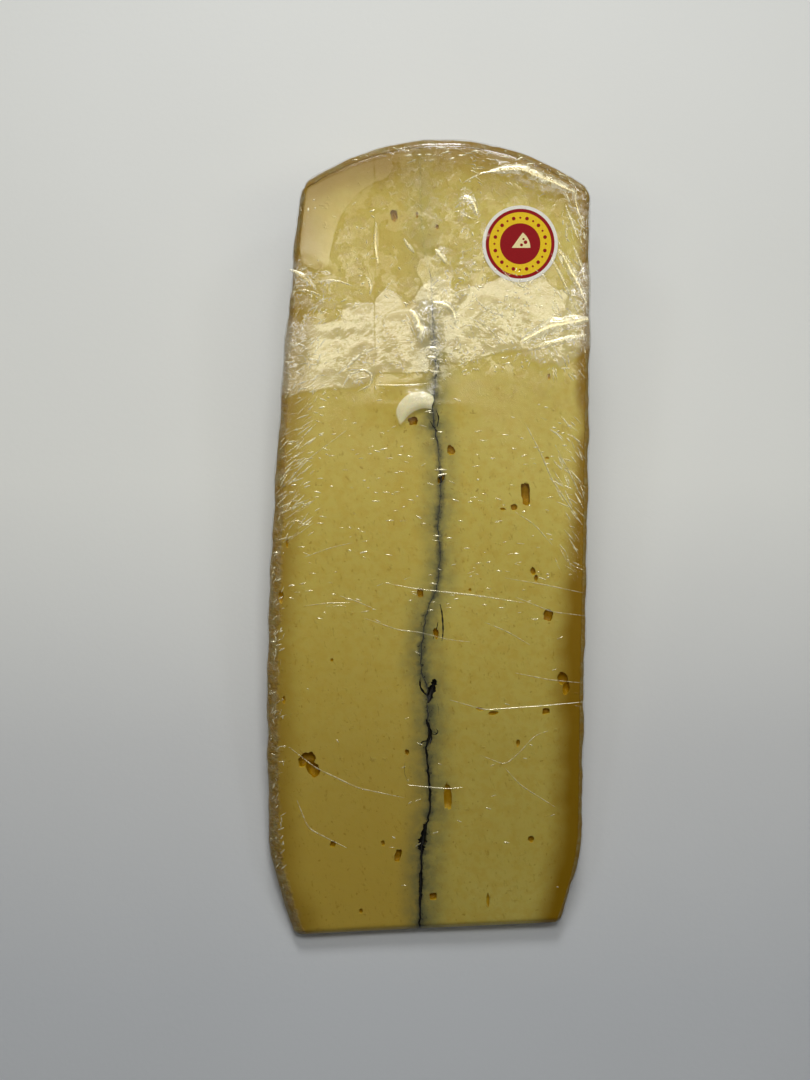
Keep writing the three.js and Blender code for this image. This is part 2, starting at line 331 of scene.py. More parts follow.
@dataclass(frozen=True)
class Layer:
    """One layer of the wedge, as the part of its form between two walls.

    Attributes:
        offset: How far the layer's skin lies outside the cheese.
        floor: Height of its underside.
        bottom_round: Rounding of its lower edges.
        left_wall: Place across of an inner wall on its left, or None for the rind.
        right_wall: The same on its right.
        inner_band: Width of the finer steps beside an inner wall.
    """

    offset: float = 0.0
    floor: float = 0.0
    bottom_round: float = FORM.bottom_round
    left_wall: Callable[[Array, Array], Array] | None = None
    right_wall: Callable[[Array, Array], Array] | None = None
    inner_band: float = 0.0

    def skin(self, place: Array, grid: Grid) -> Array:
        """Moves a unit box's grid points onto the layer's rounded skin.

        Args:
            place: Grid points, each coordinate 0 to 1.
            grid: The box's counts of steps.

        Returns:
            Points in millimetres, with the rind's and the cut face's relief.
        """
        share_across, share_along, share_up = place.T
        tip_round = FORM.tip_round + self.offset
        heel_round = FORM.heel_round + self.offset
        full = np.full(len(place), FORM.length)

        up_at_heel = np.maximum(0.0, self._levels(full, share_across, share_up, grid)[0])
        across_at_heel = self._across(full, up_at_heel, share_across, grid)[0]
        heel = FORM.heel(across_at_heel, up_at_heel) + self.offset
        across_at_tip = self._across(full * 0.0, up_at_heel * 0.0, share_across, grid)[0]
        tip = FORM.tip_skew * across_at_tip - self.offset
        bands = (tip_round, heel_round)
        along = tip + station(share_along, grid.along, heel - tip, bands, (grid.band, grid.band))
        up, top, top_round = self._levels(along, share_across, share_up, grid)
        across, left, right, left_round, right_round = self._across(along, up, share_across, grid)

        into = np.stack([
            band_place(across, left, right, left_round, right_round),
            band_place(along, tip, heel, tip_round, heel_round),
            band_place(up, self.floor, top, self.bottom_round, top_round),
        ])
        reach = np.linalg.norm(into, axis=0)
        rounding = np.max(np.abs(into), axis=0) / np.maximum(reach, FLOAT_GUARD)
        across = from_band(across, into[0] * rounding, left, right, left_round, right_round)
        along = from_band(along, into[1] * rounding, tip, heel, tip_round, heel_round)
        up = from_band(up, into[2] * rounding, self.floor, top, self.bottom_round, top_round)

        points = np.stack([across, along, up], axis=1)
        relief = FORM.rind_relief(points) * smoothstep(up, 0.5, 5.0)
        points[:, 0] += relief * into[0] * np.abs(into[0])
        points[:, 1] += relief * np.maximum(0.0, into[1])
        points[:, 2] += FORM.cut_relief(across, along) * np.maximum(0.0, into[2])
        return points

    def _levels(self, along: Array, share_across: Array, share_up: Array, grid: Grid) -> tuple[Array, ...]:
        """Height of each grid point, of the skin's top there, and the top's rounding."""
        top = FORM.height(along) + self.offset
        soft = lerp(FORM.top_round_left, FORM.top_round_right, self._whole_share(share_across))
        top_round = np.minimum(soft, FORM.tip_height * 0.6) + self.offset
        steps = (2 if self.bottom_round > 0 else 0, grid.band)
        bands = (self.bottom_round, top_round)
        up = self.floor + station(share_up, grid.up, top - self.floor, bands, steps)
        return up, top, top_round

    def _whole_share(self, share_across: Array) -> Array:
        """Place across the whole wedge, 0 to 1, of a place across this layer."""
        low = 0.5 if self.left_wall else 0.0
        high = 0.5 if self.right_wall else 1.0
        return lerp(low, high, share_across)

    def _across(self, along: Array, up: Array, share: Array, grid: Grid) -> tuple[Array, ...]:
        """Place across of each grid point, the layer's walls there and their rounding."""
        left, right = FORM.walls(along, self.offset)
        left_round = FORM.left_round(along) + self.offset
        right_round = np.full_like(along, FORM.right_round + self.offset)
        bands = [left_round, right_round]
        if self.left_wall:
            left = self.left_wall(along, up)
            bands[0] = np.full_like(along, self.inner_band)
            left_round = np.zeros_like(along)
        if self.right_wall:
            right = self.right_wall(along, up)
            bands[1] = np.full_like(along, self.inner_band)
            right_round = np.zeros_like(along)
        steps = (0, 0) if self.left_wall and self.right_wall else (grid.band, grid.band)
        across = left + station(share, grid.across, right - left, bands, steps)
        return across, left, right, left_round, right_round


def station(
    share: Array,
    count: int,
    size: Array,
    bands: Sequence[Array | float],
    steps: tuple[int, int],
) -> Array:
    """Spreads even grid lines over a side so that a few cross the band at each of its ends.

    Args:
        share: Each line's place, 0 to 1.
        count: Number of steps along the side.
        size: The side's size at each line.
        bands: Width of the band at the start and at the end.
        steps: Steps that cross each band.

    Returns:
        Distance of each line from the side's start.
    """
    step = share * count
    evenly = (size - bands[0] - bands[1]) / (count - steps[0] - steps[1])
    place = bands[0] + evenly * (step - steps[0])
    if steps[0]:
        place = np.where(step < steps[0], bands[0] * step / steps[0], place)
    if steps[1]:
        place = np.where(step > count - steps[1], size - bands[1] * (count - step) / steps[1], place)
    return place


def band_place(value: Array, low: Array, high: Array, low_band: Array, high_band: Array) -> Array:
    """How far each value is into the rounded band at either end of its side, -1 to 1."""
    into_low = (value - low - low_band) / np.maximum(low_band, 1e-6)
    into_high = (value - high + high_band) / np.maximum(high_band, 1e-6)
    below = (low_band > 0) & (value < low + low_band)
    above = (high_band > 0) & (value > high - high_band)
    return np.where(below, into_low, np.where(above, into_high, 0.0))


def from_band(
    value: Array, into: Array, low: Array, high: Array, low_band: Array, high_band: Array
) -> Array:
    """The inverse of band_place, once the corner has been rounded."""
    near_low = low + low_band + into * low_band
    near_high = high - high_band + into * high_band
    return np.where(into < 0, near_low, np.where(into > 0, near_high, value))


# ---------------------------------------------------------------- the photograph's view


@dataclass(frozen=True)
class PhotoView:
    """The camera, and where its pixels fall on the cut face.

    Attributes:
        tilt_degrees: How far it looks towards the heel from straight down.
        focal_px: Focal length in pixels of the 810 by 1080 frame.
        place: Its place in the wedge's own millimetres.
    """

    tilt_degrees: float = 6.5
    focal_px: float = 1622.0
    place: Triple = (-5.3, 47.9, 395.1)

    @property
    def lens(self) -> float:
        """Focal length for the sensor's long side."""
        return self.focal_px / FRAME_HEIGHT_PX * SENSOR_MM

    def on_cut_face(self, pixel_x: float, pixel_y: float) -> Pair:
        """The place across and along of a pixel that shows the upper cut face."""
        tilt = math.radians(self.tilt_degrees)
        side = (pixel_x - FRAME_WIDTH_PX / 2) / self.focal_px
        rise = (FRAME_HEIGHT_PX / 2 - pixel_y) / self.focal_px
        ray = (side, rise * math.cos(tilt) + math.sin(tilt), rise * math.sin(tilt) - math.cos(tilt))
        above = FORM.tip_height + FORM.slope * self.place[1] - self.place[2]
        reach = above / (ray[2] - FORM.slope * ray[1])
        return self.place[0] + reach * ray[0], self.place[1] + reach * ray[1]


VIEW = PhotoView()
MM_PER_PIXEL = 0.2285


# ---------------------------------------------------------------- mesh building


def divided_box(grid: Grid) -> BMesh:
    """A unit box about the origin, cut into even steps along each side."""
    box = bmesh.new()
    bmesh.ops.create_cube(box, size=1.0)
    for axis, steps in enumerate((grid.across, grid.along, grid.up)):
        long_edges = [e for e in box.edges if abs((e.verts[0].co - e.verts[1].co)[axis]) > 0.5]
        if steps > 1:
            bmesh.ops.subdivide_edges(box, edges=long_edges, cuts=steps - 1, use_grid_fill=True)
    return box


def coordinates(mesh: BMesh) -> Array:
    """Every vertex's place, one row each."""
    return np.array([vertex.co for vertex in mesh.verts], float)


def move_vertices(mesh: BMesh, points: Array) -> None:
    """Puts every vertex at its row of `points`."""
    for vertex, point in zip(mesh.verts, points):
        vertex.co = point


def layer_mesh(layer: Layer, grid: Grid) -> BMesh:
    """A closed mesh of one layer, in millimetres."""
    mesh = divided_box(grid)
    move_vertices(mesh, layer.skin(coordinates(mesh) + 0.5, grid))
    bmesh.ops.recalc_face_normals(mesh, faces=mesh.faces)
    return mesh


def to_object(name: str, mesh: BMesh, materials: Iterable[Material]) -> Piece:
    """A smooth-shaded object in millimetres, linked to the scene."""
    data = bpy.data.meshes.new(name)
    mesh.to_mesh(data)
    mesh.free()
    for material in materials:
        data.materials.append(material)
    data.shade_smooth()
    piece = bpy.data.objects.new(name, data)
    bpy.context.scene.collection.objects.link(piece)
    return piece


def object_points(piece: Piece) -> Array:
    """Every vertex of an object, one row each."""
    flat = np.empty(len(piece.data.vertices) * 3)
    piece.data.vertices.foreach_get("co", flat)
    return flat.reshape(-1, 3)


def paint(piece: Piece, name: str, values: Array) -> None:
    """Stores one number for each vertex, for the piece's material."""
    attribute = piece.data.attributes.new(name, "FLOAT", "POINT")
    attribute.data.foreach_set("value", np.asarray(values, np.float32))


def settle(piece: Piece, slot: str, *nodes: str) -> Piece:
    """Moves a finished piece from the wedge's millimetres into the frame and hands it over.

    Args:
        piece: The piece, its mesh in millimetres.
        slot: The record's material slot for it; not used.
        nodes: The solids that it stands for.

    Returns:
        The same piece.
    """
    low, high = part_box("label")
    centre = (low + high) / 2
    shift = Vector((centre.x - FORM.label_across * MM, centre.y - FORM.label_along * MM, 0.0))
    piece.data.transform(Matrix.Translation(shift) @ Matrix.Scale(MM, 4))
    piece.data.set_sharp_from_angle(angle=math.radians(SHARP_FROM_DEGREES))
    piece.data.update()
    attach(piece, "root")
    if nodes:
        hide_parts(*nodes)
    log.info("%s: %d faces", piece.name, len(piece.data.polygons))
    return piece


# ---------------------------------------------------------------- material graphs


class Graph:
    """A material's node tree with short ways to add and join nodes."""

    def __init__(self, name: str) -> None:
        """Starts an empty node tree for a new material."""
        self.material = bpy.data.materials.new(name)
        self.material.use_nodes = True
        self.tree = self.material.node_tree
        self.tree.nodes.clear()
        self.output = self.node("ShaderNodeOutputMaterial")

    def node(self, kind: str, **settings: object) -> bpy.types.Node:
        """Adds a node and sets its own properties."""
        made = self.tree.nodes.new(kind)
        for key, value in settings.items():
            setattr(made, key, value)
        return made

    def join(self, source: Socket, target: Socket) -> None:
        """Links two sockets."""
        self.tree.links.new(source, target)

    def feed(self, socket: Socket, value: object) -> None:
        """Links a socket to another, or sets it to a plain value."""
        if isinstance(value, Socket):
            self.join(value, socket)
        elif isinstance(value, tuple) and len(value) == 3 and socket.type == "RGBA":
            socket.default_value = (*value, 1.0)
        else:
            socket.default_value = value

    def attribute(self, name: str) -> Socket:
        """A number painted on the piece's vertices."""
        return self.node("ShaderNodeAttribute", attribute_name=name).outputs["Fac"]

    def place(self, stretch: Triple = EVEN, turn: float = 0.0) -> Socket:
        """Object coordinates whose textures come out stretched, and turned about the upright axis."""
        coordinate = self.node("ShaderNodeTexCoord").outputs["Object"]
        mapping = self.node("ShaderNodeMapping", vector_type="TEXTURE")
        mapping.inputs["Scale"].default_value = stretch
        mapping.inputs["Rotation"].default_value = (0.0, 0.0, turn)
        self.join(coordinate, mapping.inputs["Vector"])
        return mapping.outputs["Vector"]

    def noise(
        self,
        size_mm: float,
        detail: float = 2.0,
        roughness: float = 0.5,
        stretch: Triple = EVEN,
        turn: float = 0.0,
    ) -> Socket:
        """Noise, 0 to 1, with lumps of about `size_mm`."""
        made = self.node("ShaderNodeTexNoise")
        made.inputs["Scale"].default_value = 1.0 / (size_mm * MM)
        made.inputs["Detail"].default_value = detail
        made.inputs["Roughness"].default_value = roughness
        self.join(self.place(stretch, turn), made.inputs["Vector"])
        return made.outputs["Fac"]

    def facets(self, size_mm: float) -> Socket:
        """Cones that meet in creases, of about `size_mm`."""
        made = self.node("ShaderNodeTexVoronoi")
        made.inputs["Scale"].default_value = 1.0 / (size_mm * MM)
        self.join(self.warped(size_mm), made.inputs["Vector"])
        return made.outputs["Distance"]

    def warped(self, size_mm: float) -> Socket:
        """The place on the piece, pushed about so that patterns of `size_mm` lose their evenness."""
        wander = self.node("ShaderNodeTexNoise")
        wander.inputs["Scale"].default_value = 0.6 / (size_mm * MM)
        place = self.place()
        self.join(place, wander.inputs["Vector"])
        moved = self.node("ShaderNodeVectorMath", operation="MULTIPLY_ADD")
        self.join(wander.outputs["Color"], moved.inputs[0])
        moved.inputs[1].default_value = (1.6 * size_mm * MM,) * 3
        self.join(place, moved.inputs[2])
        return moved.outputs["Vector"]

    def ramp(self, value: Socket, low: float, high: float, start: float = 0.0, end: float = 1.0) -> Socket:
        """A smooth step of `value`: `start` up to `low`, `end` from `high` on."""
        made = self.node("ShaderNodeMapRange", interpolation_type="SMOOTHSTEP")
        for key, number in zip(("From Min", "From Max", "To Min", "To Max"), (low, high, start, end)):
            made.inputs[key].default_value = number
        self.join(value, made.inputs["Value"])
        return made.outputs["Result"]

    def math(self, operation: str, first: object, second: object = 0.0) -> Socket:
        """One arithmetic step on two numbers."""
        made = self.node("ShaderNodeMath", operation=operation)
        self.feed(made.inputs[0], first)
        self.feed(made.inputs[1], second)
        return made.outputs[0]

    def times(self, first: object, second: object) -> Socket:
        """The product of two numbers."""
        return self.math("MULTIPLY", first, second)

    def mix(self, share: object, first: object, second: object) -> Socket:
        """Mixes two colours."""
        made = self.node("ShaderNodeMix", data_type="RGBA")
        self.feed(made.inputs["Factor"], share)
        self.feed(made.inputs[6], first)
        self.feed(made.inputs[7], second)
        return made.outputs[2]

    def bump(self, height: Socket, depth_mm: float, under: Socket | None = None) -> Socket:
        """A normal from a height that goes from 0 to 1 over `depth_mm`."""
        made = self.node("ShaderNodeBump")
        made.inputs["Strength"].default_value = 1.0
        made.inputs["Distance"].default_value = depth_mm * MM
        self.join(height, made.inputs["Height"])
        if under is not None:
            self.join(under, made.inputs["Normal"])
        return made.outputs["Normal"]

    def shader(self, kind: str, **values: object) -> Socket:
        """A surface of one kind, such as Glossy; its values' names use _ for a space."""
        made = self.node(f"ShaderNodeBsdf{kind}")
        for key, value in values.items():
            self.feed(made.inputs[key.replace("_", " ")], value)
        return made.outputs[0]

    def blend(self, share: object, first: Socket, second: Socket) -> Socket:
        """Mixes two shaders."""
        made = self.node("ShaderNodeMixShader")
        self.feed(made.inputs[0], share)
        self.join(first, made.inputs[1])
        self.join(second, made.inputs[2])
        return made.outputs[0]

    def finish(self, surface: Socket) -> Material:
        """Joins the surface to the output and returns the material."""
        self.join(surface, self.output.inputs["Surface"])
        return self.material


@dataclass(frozen=True)
class CurdFinish:
    """Pale curd that darkens towards an orange-brown rind and is stained beside the ash."""

    paste: Colour = (0.593, 0.500, 0.120)
    paste_deep: Colour = (0.553, 0.440, 0.087)
    ripe: Colour = (0.53, 0.375, 0.060)
    # lip: paler curd of the raised arch; part of its whiteness is a painted reflection of the film over it.
    lip: Colour = (0.84, 0.790, 0.520)
    under_rind: Colour = (0.265, 0.150, 0.004)
    rind: Colour = (0.28, 0.172, 0.028)
    bloom: Colour = (0.30, 0.232, 0.080)
    stain: Colour = (0.155, 0.160, 0.072)
    smudge: Colour = (0.080, 0.082, 0.050)
    soot: Colour = (0.018, 0.016, 0.014)

    def build(self) -> Material:
        """Makes the material; it reads the vertex numbers that CurdHalf paints."""
        graph = Graph("curd")
        colour = self._paste(graph)
        colour = self._stained(graph, colour)
        bloom = graph.ramp(graph.noise(2.0, 5.0, 0.7), 0.42, 0.64)
        edge = graph.ramp(graph.math("ADD", graph.attribute("skin"), graph.noise(1.8, 3.0)), 0.62, 1.15)
        colour = graph.mix(edge, colour, graph.mix(bloom, self.rind, self.bloom))
        # The raised arch's pale colour, partly a painted reflection of the film held off it.
        colour = graph.mix(graph.ramp(graph.attribute("pale"), 0.30, 0.55), colour, self.lip)

        smooth = graph.bump(graph.noise(3.0, 2.0), 0.05, graph.bump(graph.noise(0.9, 3.0, 0.6), 0.025))
        rough = graph.bump(graph.times(graph.noise(1.3, 4.0, 0.7), edge), 0.6, smooth)
        return graph.finish(graph.shader(
            "Principled",
            Base_Color=colour,
            Roughness=graph.ramp(edge, 0.0, 1.0, 0.42, 0.62),
            Normal=rough,
            Specular_IOR_Level=0.15,
            Subsurface_Weight=0.35,
            Subsurface_Radius=(1.0, 0.62, 0.22),
            Subsurface_Scale=1.6 * MM,
        ))

    def _paste(self, graph: Graph) -> Socket:
        """The curd's colour: mottled, riper at the thin end, brown under the rind, with tiny dark flecks of
        painted shade for small pits.
        """
        broad = graph.ramp(graph.noise(26.0, 3.0), 0.35, 0.68)
        mottle = graph.ramp(graph.noise(2.2, 4.0, 0.62), 0.40, 0.66)
        hairs = graph.ramp(graph.noise(0.8, 3.0, 0.65, stretch=(1.0, 2.6, 1.0), turn=0.25), 0.58, 0.74)
        # Tiny dark flecks: painted shade of small pits, which are not modelled.
        pit_shade = graph.ramp(graph.noise(1.0, 1.0, 0.5), 0.72, 0.77)
        colour = graph.mix(graph.times(broad, 0.6), self.paste, self.paste_deep)
        colour = graph.mix(graph.attribute("ripe"), colour, self.ripe)
        colour = graph.mix(graph.times(mottle, 0.50), colour, self.ripe)
        colour = graph.mix(graph.times(hairs, 0.42), colour, self.under_rind)
        colour = graph.mix(graph.times(pit_shade, 0.45), colour, self.under_rind)
        return graph.mix(graph.attribute("warm"), colour, self.under_rind)

    def _stained(self, graph: Graph, colour: Socket) -> Socket:
        """Adds the ash's grey-green halo, its blotches and its specks."""
        beside = graph.attribute("beside")
        smoke = graph.attribute("smoke")
        cloud = graph.ramp(graph.noise(3.4, 4.0, 0.65), 0.30, 0.70, 0.45, 0.90)
        halo = graph.times(cloud, graph.ramp(beside, 0.0, 6.4, 1.0, 0.0))
        colour = graph.mix(graph.times(halo, smoke), colour, self.stain)
        wavering = graph.math("ADD", beside, graph.times(graph.noise(1.9, 3.0, 0.6), 2.4))
        close = graph.times(graph.ramp(smoke, 0.4, 0.8), graph.ramp(wavering, 0.9, 2.7, 0.92, 0.0))
        colour = graph.mix(close, colour, self.smudge)
        specks = graph.ramp(graph.noise(0.55, 2.0, 0.7), 0.60, 0.66)
        return graph.mix(graph.times(specks, graph.ramp(close, 0.15, 0.7)), colour, self.soot)


@dataclass(frozen=True)
class EyeFinish:
    """The moist wall of an eye, browner the deeper it goes through painted shade, and black beside the ash.
    """

    # rim is the eye's colour at the cut face; wall is the dark brown of painted shade deep inside.
    rim: Colour = (0.61, 0.405, 0.022)
    wall: Colour = (0.35, 0.187, 0.001)
    soot: Colour = (0.018, 0.016, 0.012)

    def build(self) -> Material:
        """Makes the material; it reads the vertex numbers for depth below the cut face, which sets the
        painted shade, and smudge.
        """
        graph = Graph("eye_wall")
        patchy = graph.noise(1.0, 3.0, 0.6)
        shade = graph.math("ADD", graph.attribute("shade_depth"), graph.times(patchy, 0.5))
        # Painted shade: darker brown the further below the cut face.
        colour = graph.mix(graph.ramp(shade, 0.15, 1.1), self.rim, self.wall)
        black = graph.ramp(graph.math("ADD", graph.attribute("smudge"), patchy), 0.85, 1.15)
        colour = graph.mix(black, colour, self.soot)
        return graph.finish(graph.shader(
            "Principled",
            Base_Color=colour,
            Roughness=0.5,
            Normal=graph.bump(patchy, 0.15),
            Specular_IOR_Level=0.15,
            Subsurface_Weight=0.3,
            Subsurface_Radius=(1.0, 0.6, 0.2),
            Subsurface_Scale=1.0 * MM,
        ))


@dataclass(frozen=True)
class SootFinish:
    """The walls of a split that the ash has blackened."""

    soot: Colour = (0.016, 0.014, 0.011)

    def build(self) -> Material:
        """Makes the material."""
        graph = Graph("soot_wall")
        return graph.finish(graph.shader("Principled", Base_Color=self.soot, Roughness=0.6))


@dataclass(frozen=True)
class AshFinish:
    """Blue-black ash that gives way to stained curd where the line fades."""

    soot: Colour = (0.022, 0.022, 0.021)
    faded: Colour = (0.56, 0.450, 0.095)
    stained: Colour = (0.16, 0.150, 0.064)
    rind: Colour = (0.30, 0.150, 0.040)

    def build(self) -> Material:
        """Makes the material; it reads the vertex numbers strength and rind."""
        graph = Graph("ash")
        strength = graph.attribute("strength")
        broken = graph.math("ADD", graph.times(graph.noise(2.4, 3.0, 0.65), 0.9), 0.05)
        dark = graph.math("ADD", strength, broken)
        between = graph.mix(graph.ramp(strength, 0.04, 0.35), self.faded, self.stained)
        colour = graph.mix(graph.ramp(dark, 0.38, 0.75), between, self.soot)
        colour = graph.mix(graph.ramp(graph.attribute("rind"), 0.6, 1.6, 1.0, 0.0), colour, self.rind)
        grain = graph.bump(graph.noise(0.5, 3.0), 0.2)
        return graph.finish(graph.shader("Principled", Base_Color=colour, Roughness=0.75, Normal=grain))


DRAWN_DEGREES = {"drawn_left": 38.0, "drawn_right": -58.0}


@dataclass(frozen=True)
class FilmFinish:
    """Clear cling film: brighter where air lies under it, whiter and glinting where crushed, with white
    lines along its creases that are partly painted glints, and a painted white sheen over the slack sheet at
    the wide end.

    Attributes:
        roughness: How blurred its reflections are.
        index: Its refractive index.
        tight: Share of a single surface's reflection where the film clings.
        surfaces: The same where air lies under it.
        most_mirrored: The most that it reflects at any angle.
        haze_and_painted_glare_colour: Colour of its white places: the crushed film's whitening, the painted
            glints along its creases and its painted sheen.
        veiled: How strongly a painted white sheen covers the slack sheet, in place of the lights' reflection
            there.
        crease_size: Size of the facets between white crease lines, in millimetres.
    """

    roughness: float = 0.14
    index: float = 1.5
    tight: float = 0.55
    surfaces: float = 2.45
    most_mirrored: float = 0.16
    haze_and_painted_glare_colour: Colour = (1.0, 0.96, 0.84)
    veiled: float = 0.22
    crease_size: float = 2.1

    def build(self) -> Material:
        """Makes the material; it reads the vertex numbers that FilmWrap paints."""
        graph = Graph("film")
        crinkle = graph.attribute("crinkle")
        loose = self._loose(graph)
        normal = self._relief(graph, crinkle, loose)
        fresnel = graph.node("ShaderNodeFresnel")
        fresnel.inputs["IOR"].default_value = self.index
        graph.join(normal, fresnel.inputs["Normal"])
        mirrored = graph.times(fresnel.outputs[0], graph.ramp(loose, 0.0, 1.0, self.tight, self.surfaces))
        share = graph.math("MINIMUM", mirrored, self.most_mirrored)
        gloss = graph.shader("Glossy", Roughness=self.roughness, Normal=normal)
        # White diffuse layer: whitening of the crushed film, and also painted glints and a painted sheen.
        haze_and_painted_glare = graph.shader("Diffuse", Color=self.haze_and_painted_glare_colour, Normal=normal)
        cloudy = graph.times(crinkle, graph.ramp(graph.noise(2.2, 4.0, 0.65), 0.42, 0.64, 0.0, 0.32))
        # White crease lines, partly painted glints.
        creases = graph.times(crinkle, self._crease_whitening_and_glints(graph))
        # Painted sheen: a white diffuse layer over the slack sheet at the wide end, in place of the lights'
        # reflection there.
        slack_and_painted_sheen = graph.times(graph.ramp(graph.attribute("slack_and_painted_sheen"), -0.1, 1.6), self.veiled)
        haze_and_painted_glare_share = graph.math("MAXIMUM", slack_and_painted_sheen, graph.math("MAXIMUM", cloudy, creases))
        veiled = graph.blend(haze_and_painted_glare_share, graph.shader("Transparent"), haze_and_painted_glare)
        return graph.finish(graph.blend(share, veiled, gloss))

    def _crease_whitening_and_glints(self, graph: Graph) -> Socket:
        """Broken white lines where the crushed sheet is creased: partly the creases' own whitening, partly
        painted glints.
        """
        edges = graph.node("ShaderNodeTexVoronoi", feature="DISTANCE_TO_EDGE")
        edges.inputs["Scale"].default_value = 1.0 / (self.crease_size * MM)
        graph.join(graph.warped(self.crease_size), edges.inputs["Vector"])
        lines = graph.ramp(edges.outputs["Distance"], 0.015, 0.075, 0.75, 0.0)
        return graph.times(lines, graph.ramp(graph.noise(1.9, 2.0, 0.5), 0.50, 0.62))

    def _loose(self, graph: Graph) -> Socket:
        """1 where air lies under the film: sheets with a crisp outline, and scattered bubbles."""
        sheet = graph.ramp(graph.attribute("lift"), -0.12, 0.12)
        bubbles = graph.ramp(graph.noise(4.6, 3.0, 0.55), 0.50, 0.52)
        slack_and_painted_sheen = graph.ramp(graph.attribute("slack_and_painted_sheen"), -0.1, 0.9)
        patches = graph.times(graph.times(bubbles, 0.55), graph.attribute("bubbly"))
        return graph.math("MAXIMUM", graph.math("MAXIMUM", sheet, patches), slack_and_painted_sheen)

    def _relief(self, graph: Graph, crinkle: Socket, loose: Socket) -> Socket:
        """The sheet's fine relief: slack, bubble rims, crushed facets and drawn streaks."""
        normal = graph.bump(graph.noise(5.0, 2.0, 0.5), 0.016)
        normal = graph.bump(loose, 0.12, normal)
        normal = graph.bump(graph.ramp(graph.attribute("overlap"), -0.2, 0.2), 0.10, normal)
        sharp = graph.times(crinkle, crinkle)
        crushed = graph.times(graph.facets(2.4), sharp)
        finer = graph.times(graph.facets(0.9), sharp)
        normal = graph.bump(finer, 0.16, graph.bump(crushed, 0.42, normal))
        for name, degrees in DRAWN_DEGREES.items():
            streaks = graph.noise(0.75, 3.0, 0.6, stretch=(9.0, 1.0, 1.0), turn=math.radians(degrees))
            normal = graph.bump(graph.times(streaks, graph.attribute(name)), 0.35, normal)
        return normal


@dataclass(frozen=True)
class PleatFinish:
    """Film folded onto itself: more mirror-like than a single sheet, and whiter, partly through a painted
    highlight.
    """

    roughness: float = 0.14
    haze_and_painted_glare_colour: Colour = (1.0, 0.95, 0.66)
    shine: Colour = (1.0, 0.93, 0.70)
    mirrored: float = 0.24
    haze_and_painted_glare_share: float = 0.70

    def build(self) -> Material:
        """Makes the material."""
        graph = Graph("film_pleat")
        patchy = graph.ramp(graph.noise(1.1, 3.0, 0.65), 0.38, 0.62, 0.25, 1.0)
        white = graph.attribute("white")
        # Diffuse white on the folds and glint strips: the folded film's own whitening and a painted
        # highlight.
        haze_and_painted_glare = graph.shader("Diffuse", Color=self.haze_and_painted_glare_colour)
        cloud = graph.times(patchy, graph.times(white, self.haze_and_painted_glare_share))
        hazy_and_painted_glare = graph.blend(cloud, graph.shader("Transparent"), haze_and_painted_glare)
        gloss = graph.shader("Glossy", Color=self.shine, Roughness=self.roughness)
        return graph.finish(graph.blend(graph.times(white, self.mirrored), hazy_and_painted_glare, gloss))


@dataclass(frozen=True)
class InkFinish:
    """Glossy printed paper in one flat ink."""

    name: str
    ink: Colour

    def build(self) -> Material:
        """Makes the material."""
        graph = Graph(self.name)
        fibre = graph.noise(0.4, 3.0, 0.6)
        darker = tuple(part * 0.9 for part in self.ink)
        colour = graph.mix(graph.ramp(fibre, 0.3, 0.7), self.ink, darker)
        grain = graph.bump(fibre, 0.015)
        return graph.finish(graph.shader(
            "Principled", Base_Color=colour, Roughness=0.4, Normal=grain, Specular_IOR_Level=0.08,
        ))


@dataclass(frozen=True)
class TableFinish:
    """A plain pale floor."""

    colour: Colour = (0.70, 0.725, 0.74)

    def build(self) -> Material:
        """Makes the material."""
        graph = Graph("table")
        darker = tuple(part * 0.975 for part in self.colour)
        colour = graph.mix(graph.ramp(graph.noise(90.0, 3.0), 0.3, 0.7), self.colour, darker)
        grain = graph.bump(graph.noise(1.5, 2.0), 0.03)
        return graph.finish(graph.shader("Principled", Base_Color=colour, Roughness=0.62, Normal=grain))


# ---------------------------------------------------------------- curd, eyes and ash


@dataclass(frozen=True)
class Eye:
    """A hole or split in the cut face.

    Attributes:
        seen: The photograph's pixel at its middle.
        width: Its size across, in millimetres.
        length: Its size along.
        depth: How far down it goes.
        turn: Its turn about the upright axis, in degrees.
        square: 0 for a round outline, 1 for a boxy one.
    """

    seen: Pair
    width: float
    length: float
    depth: float
    turn: float = 0.0
    square: float = 0.0

    def cutter(self, number: int) -> BMesh:
        """An uneven blob of the eye's size, at its place, in millimetres."""
        across, along = VIEW.on_cut_face(*self.seen)
        blob = bmesh.new()
        bmesh.ops.create_icosphere(blob, subdivisions=3, radius=1.0)
        for vertex in blob.verts:
            direction = vertex.co.normalized()
            furthest = max(abs(part) for part in direction)
            boxy = lerp(1.0, 1.0 / furthest, self.square * 0.8)
            seed = Vector((number * 3.1, 0.0, 7.0))
            lumps = 0.28 * noise.noise(direction * 1.4 + seed)
            uneven = 1.0 + lumps + 0.18 * noise.noise(direction * 3.1 + seed)
            vertex.co = direction * boxy * uneven
        sizes = (self.width / 2, self.length / 2, self.depth)
        turn = Matrix.Rotation(math.radians(self.turn), 4, "Z")
        slope = Matrix.Rotation(math.radians(FORM.slope_degrees), 4, "X")
        bmesh.ops.scale(blob, vec=sizes, verts=blob.verts)
        bmesh.ops.transform(blob, matrix=slope @ turn, verts=blob.verts)
        lift = Vector((across, along, float(FORM.face_height(across, along)) - 0.15 * self.depth))
        bmesh.ops.translate(blob, vec=lift, verts=blob.verts)
        return blob


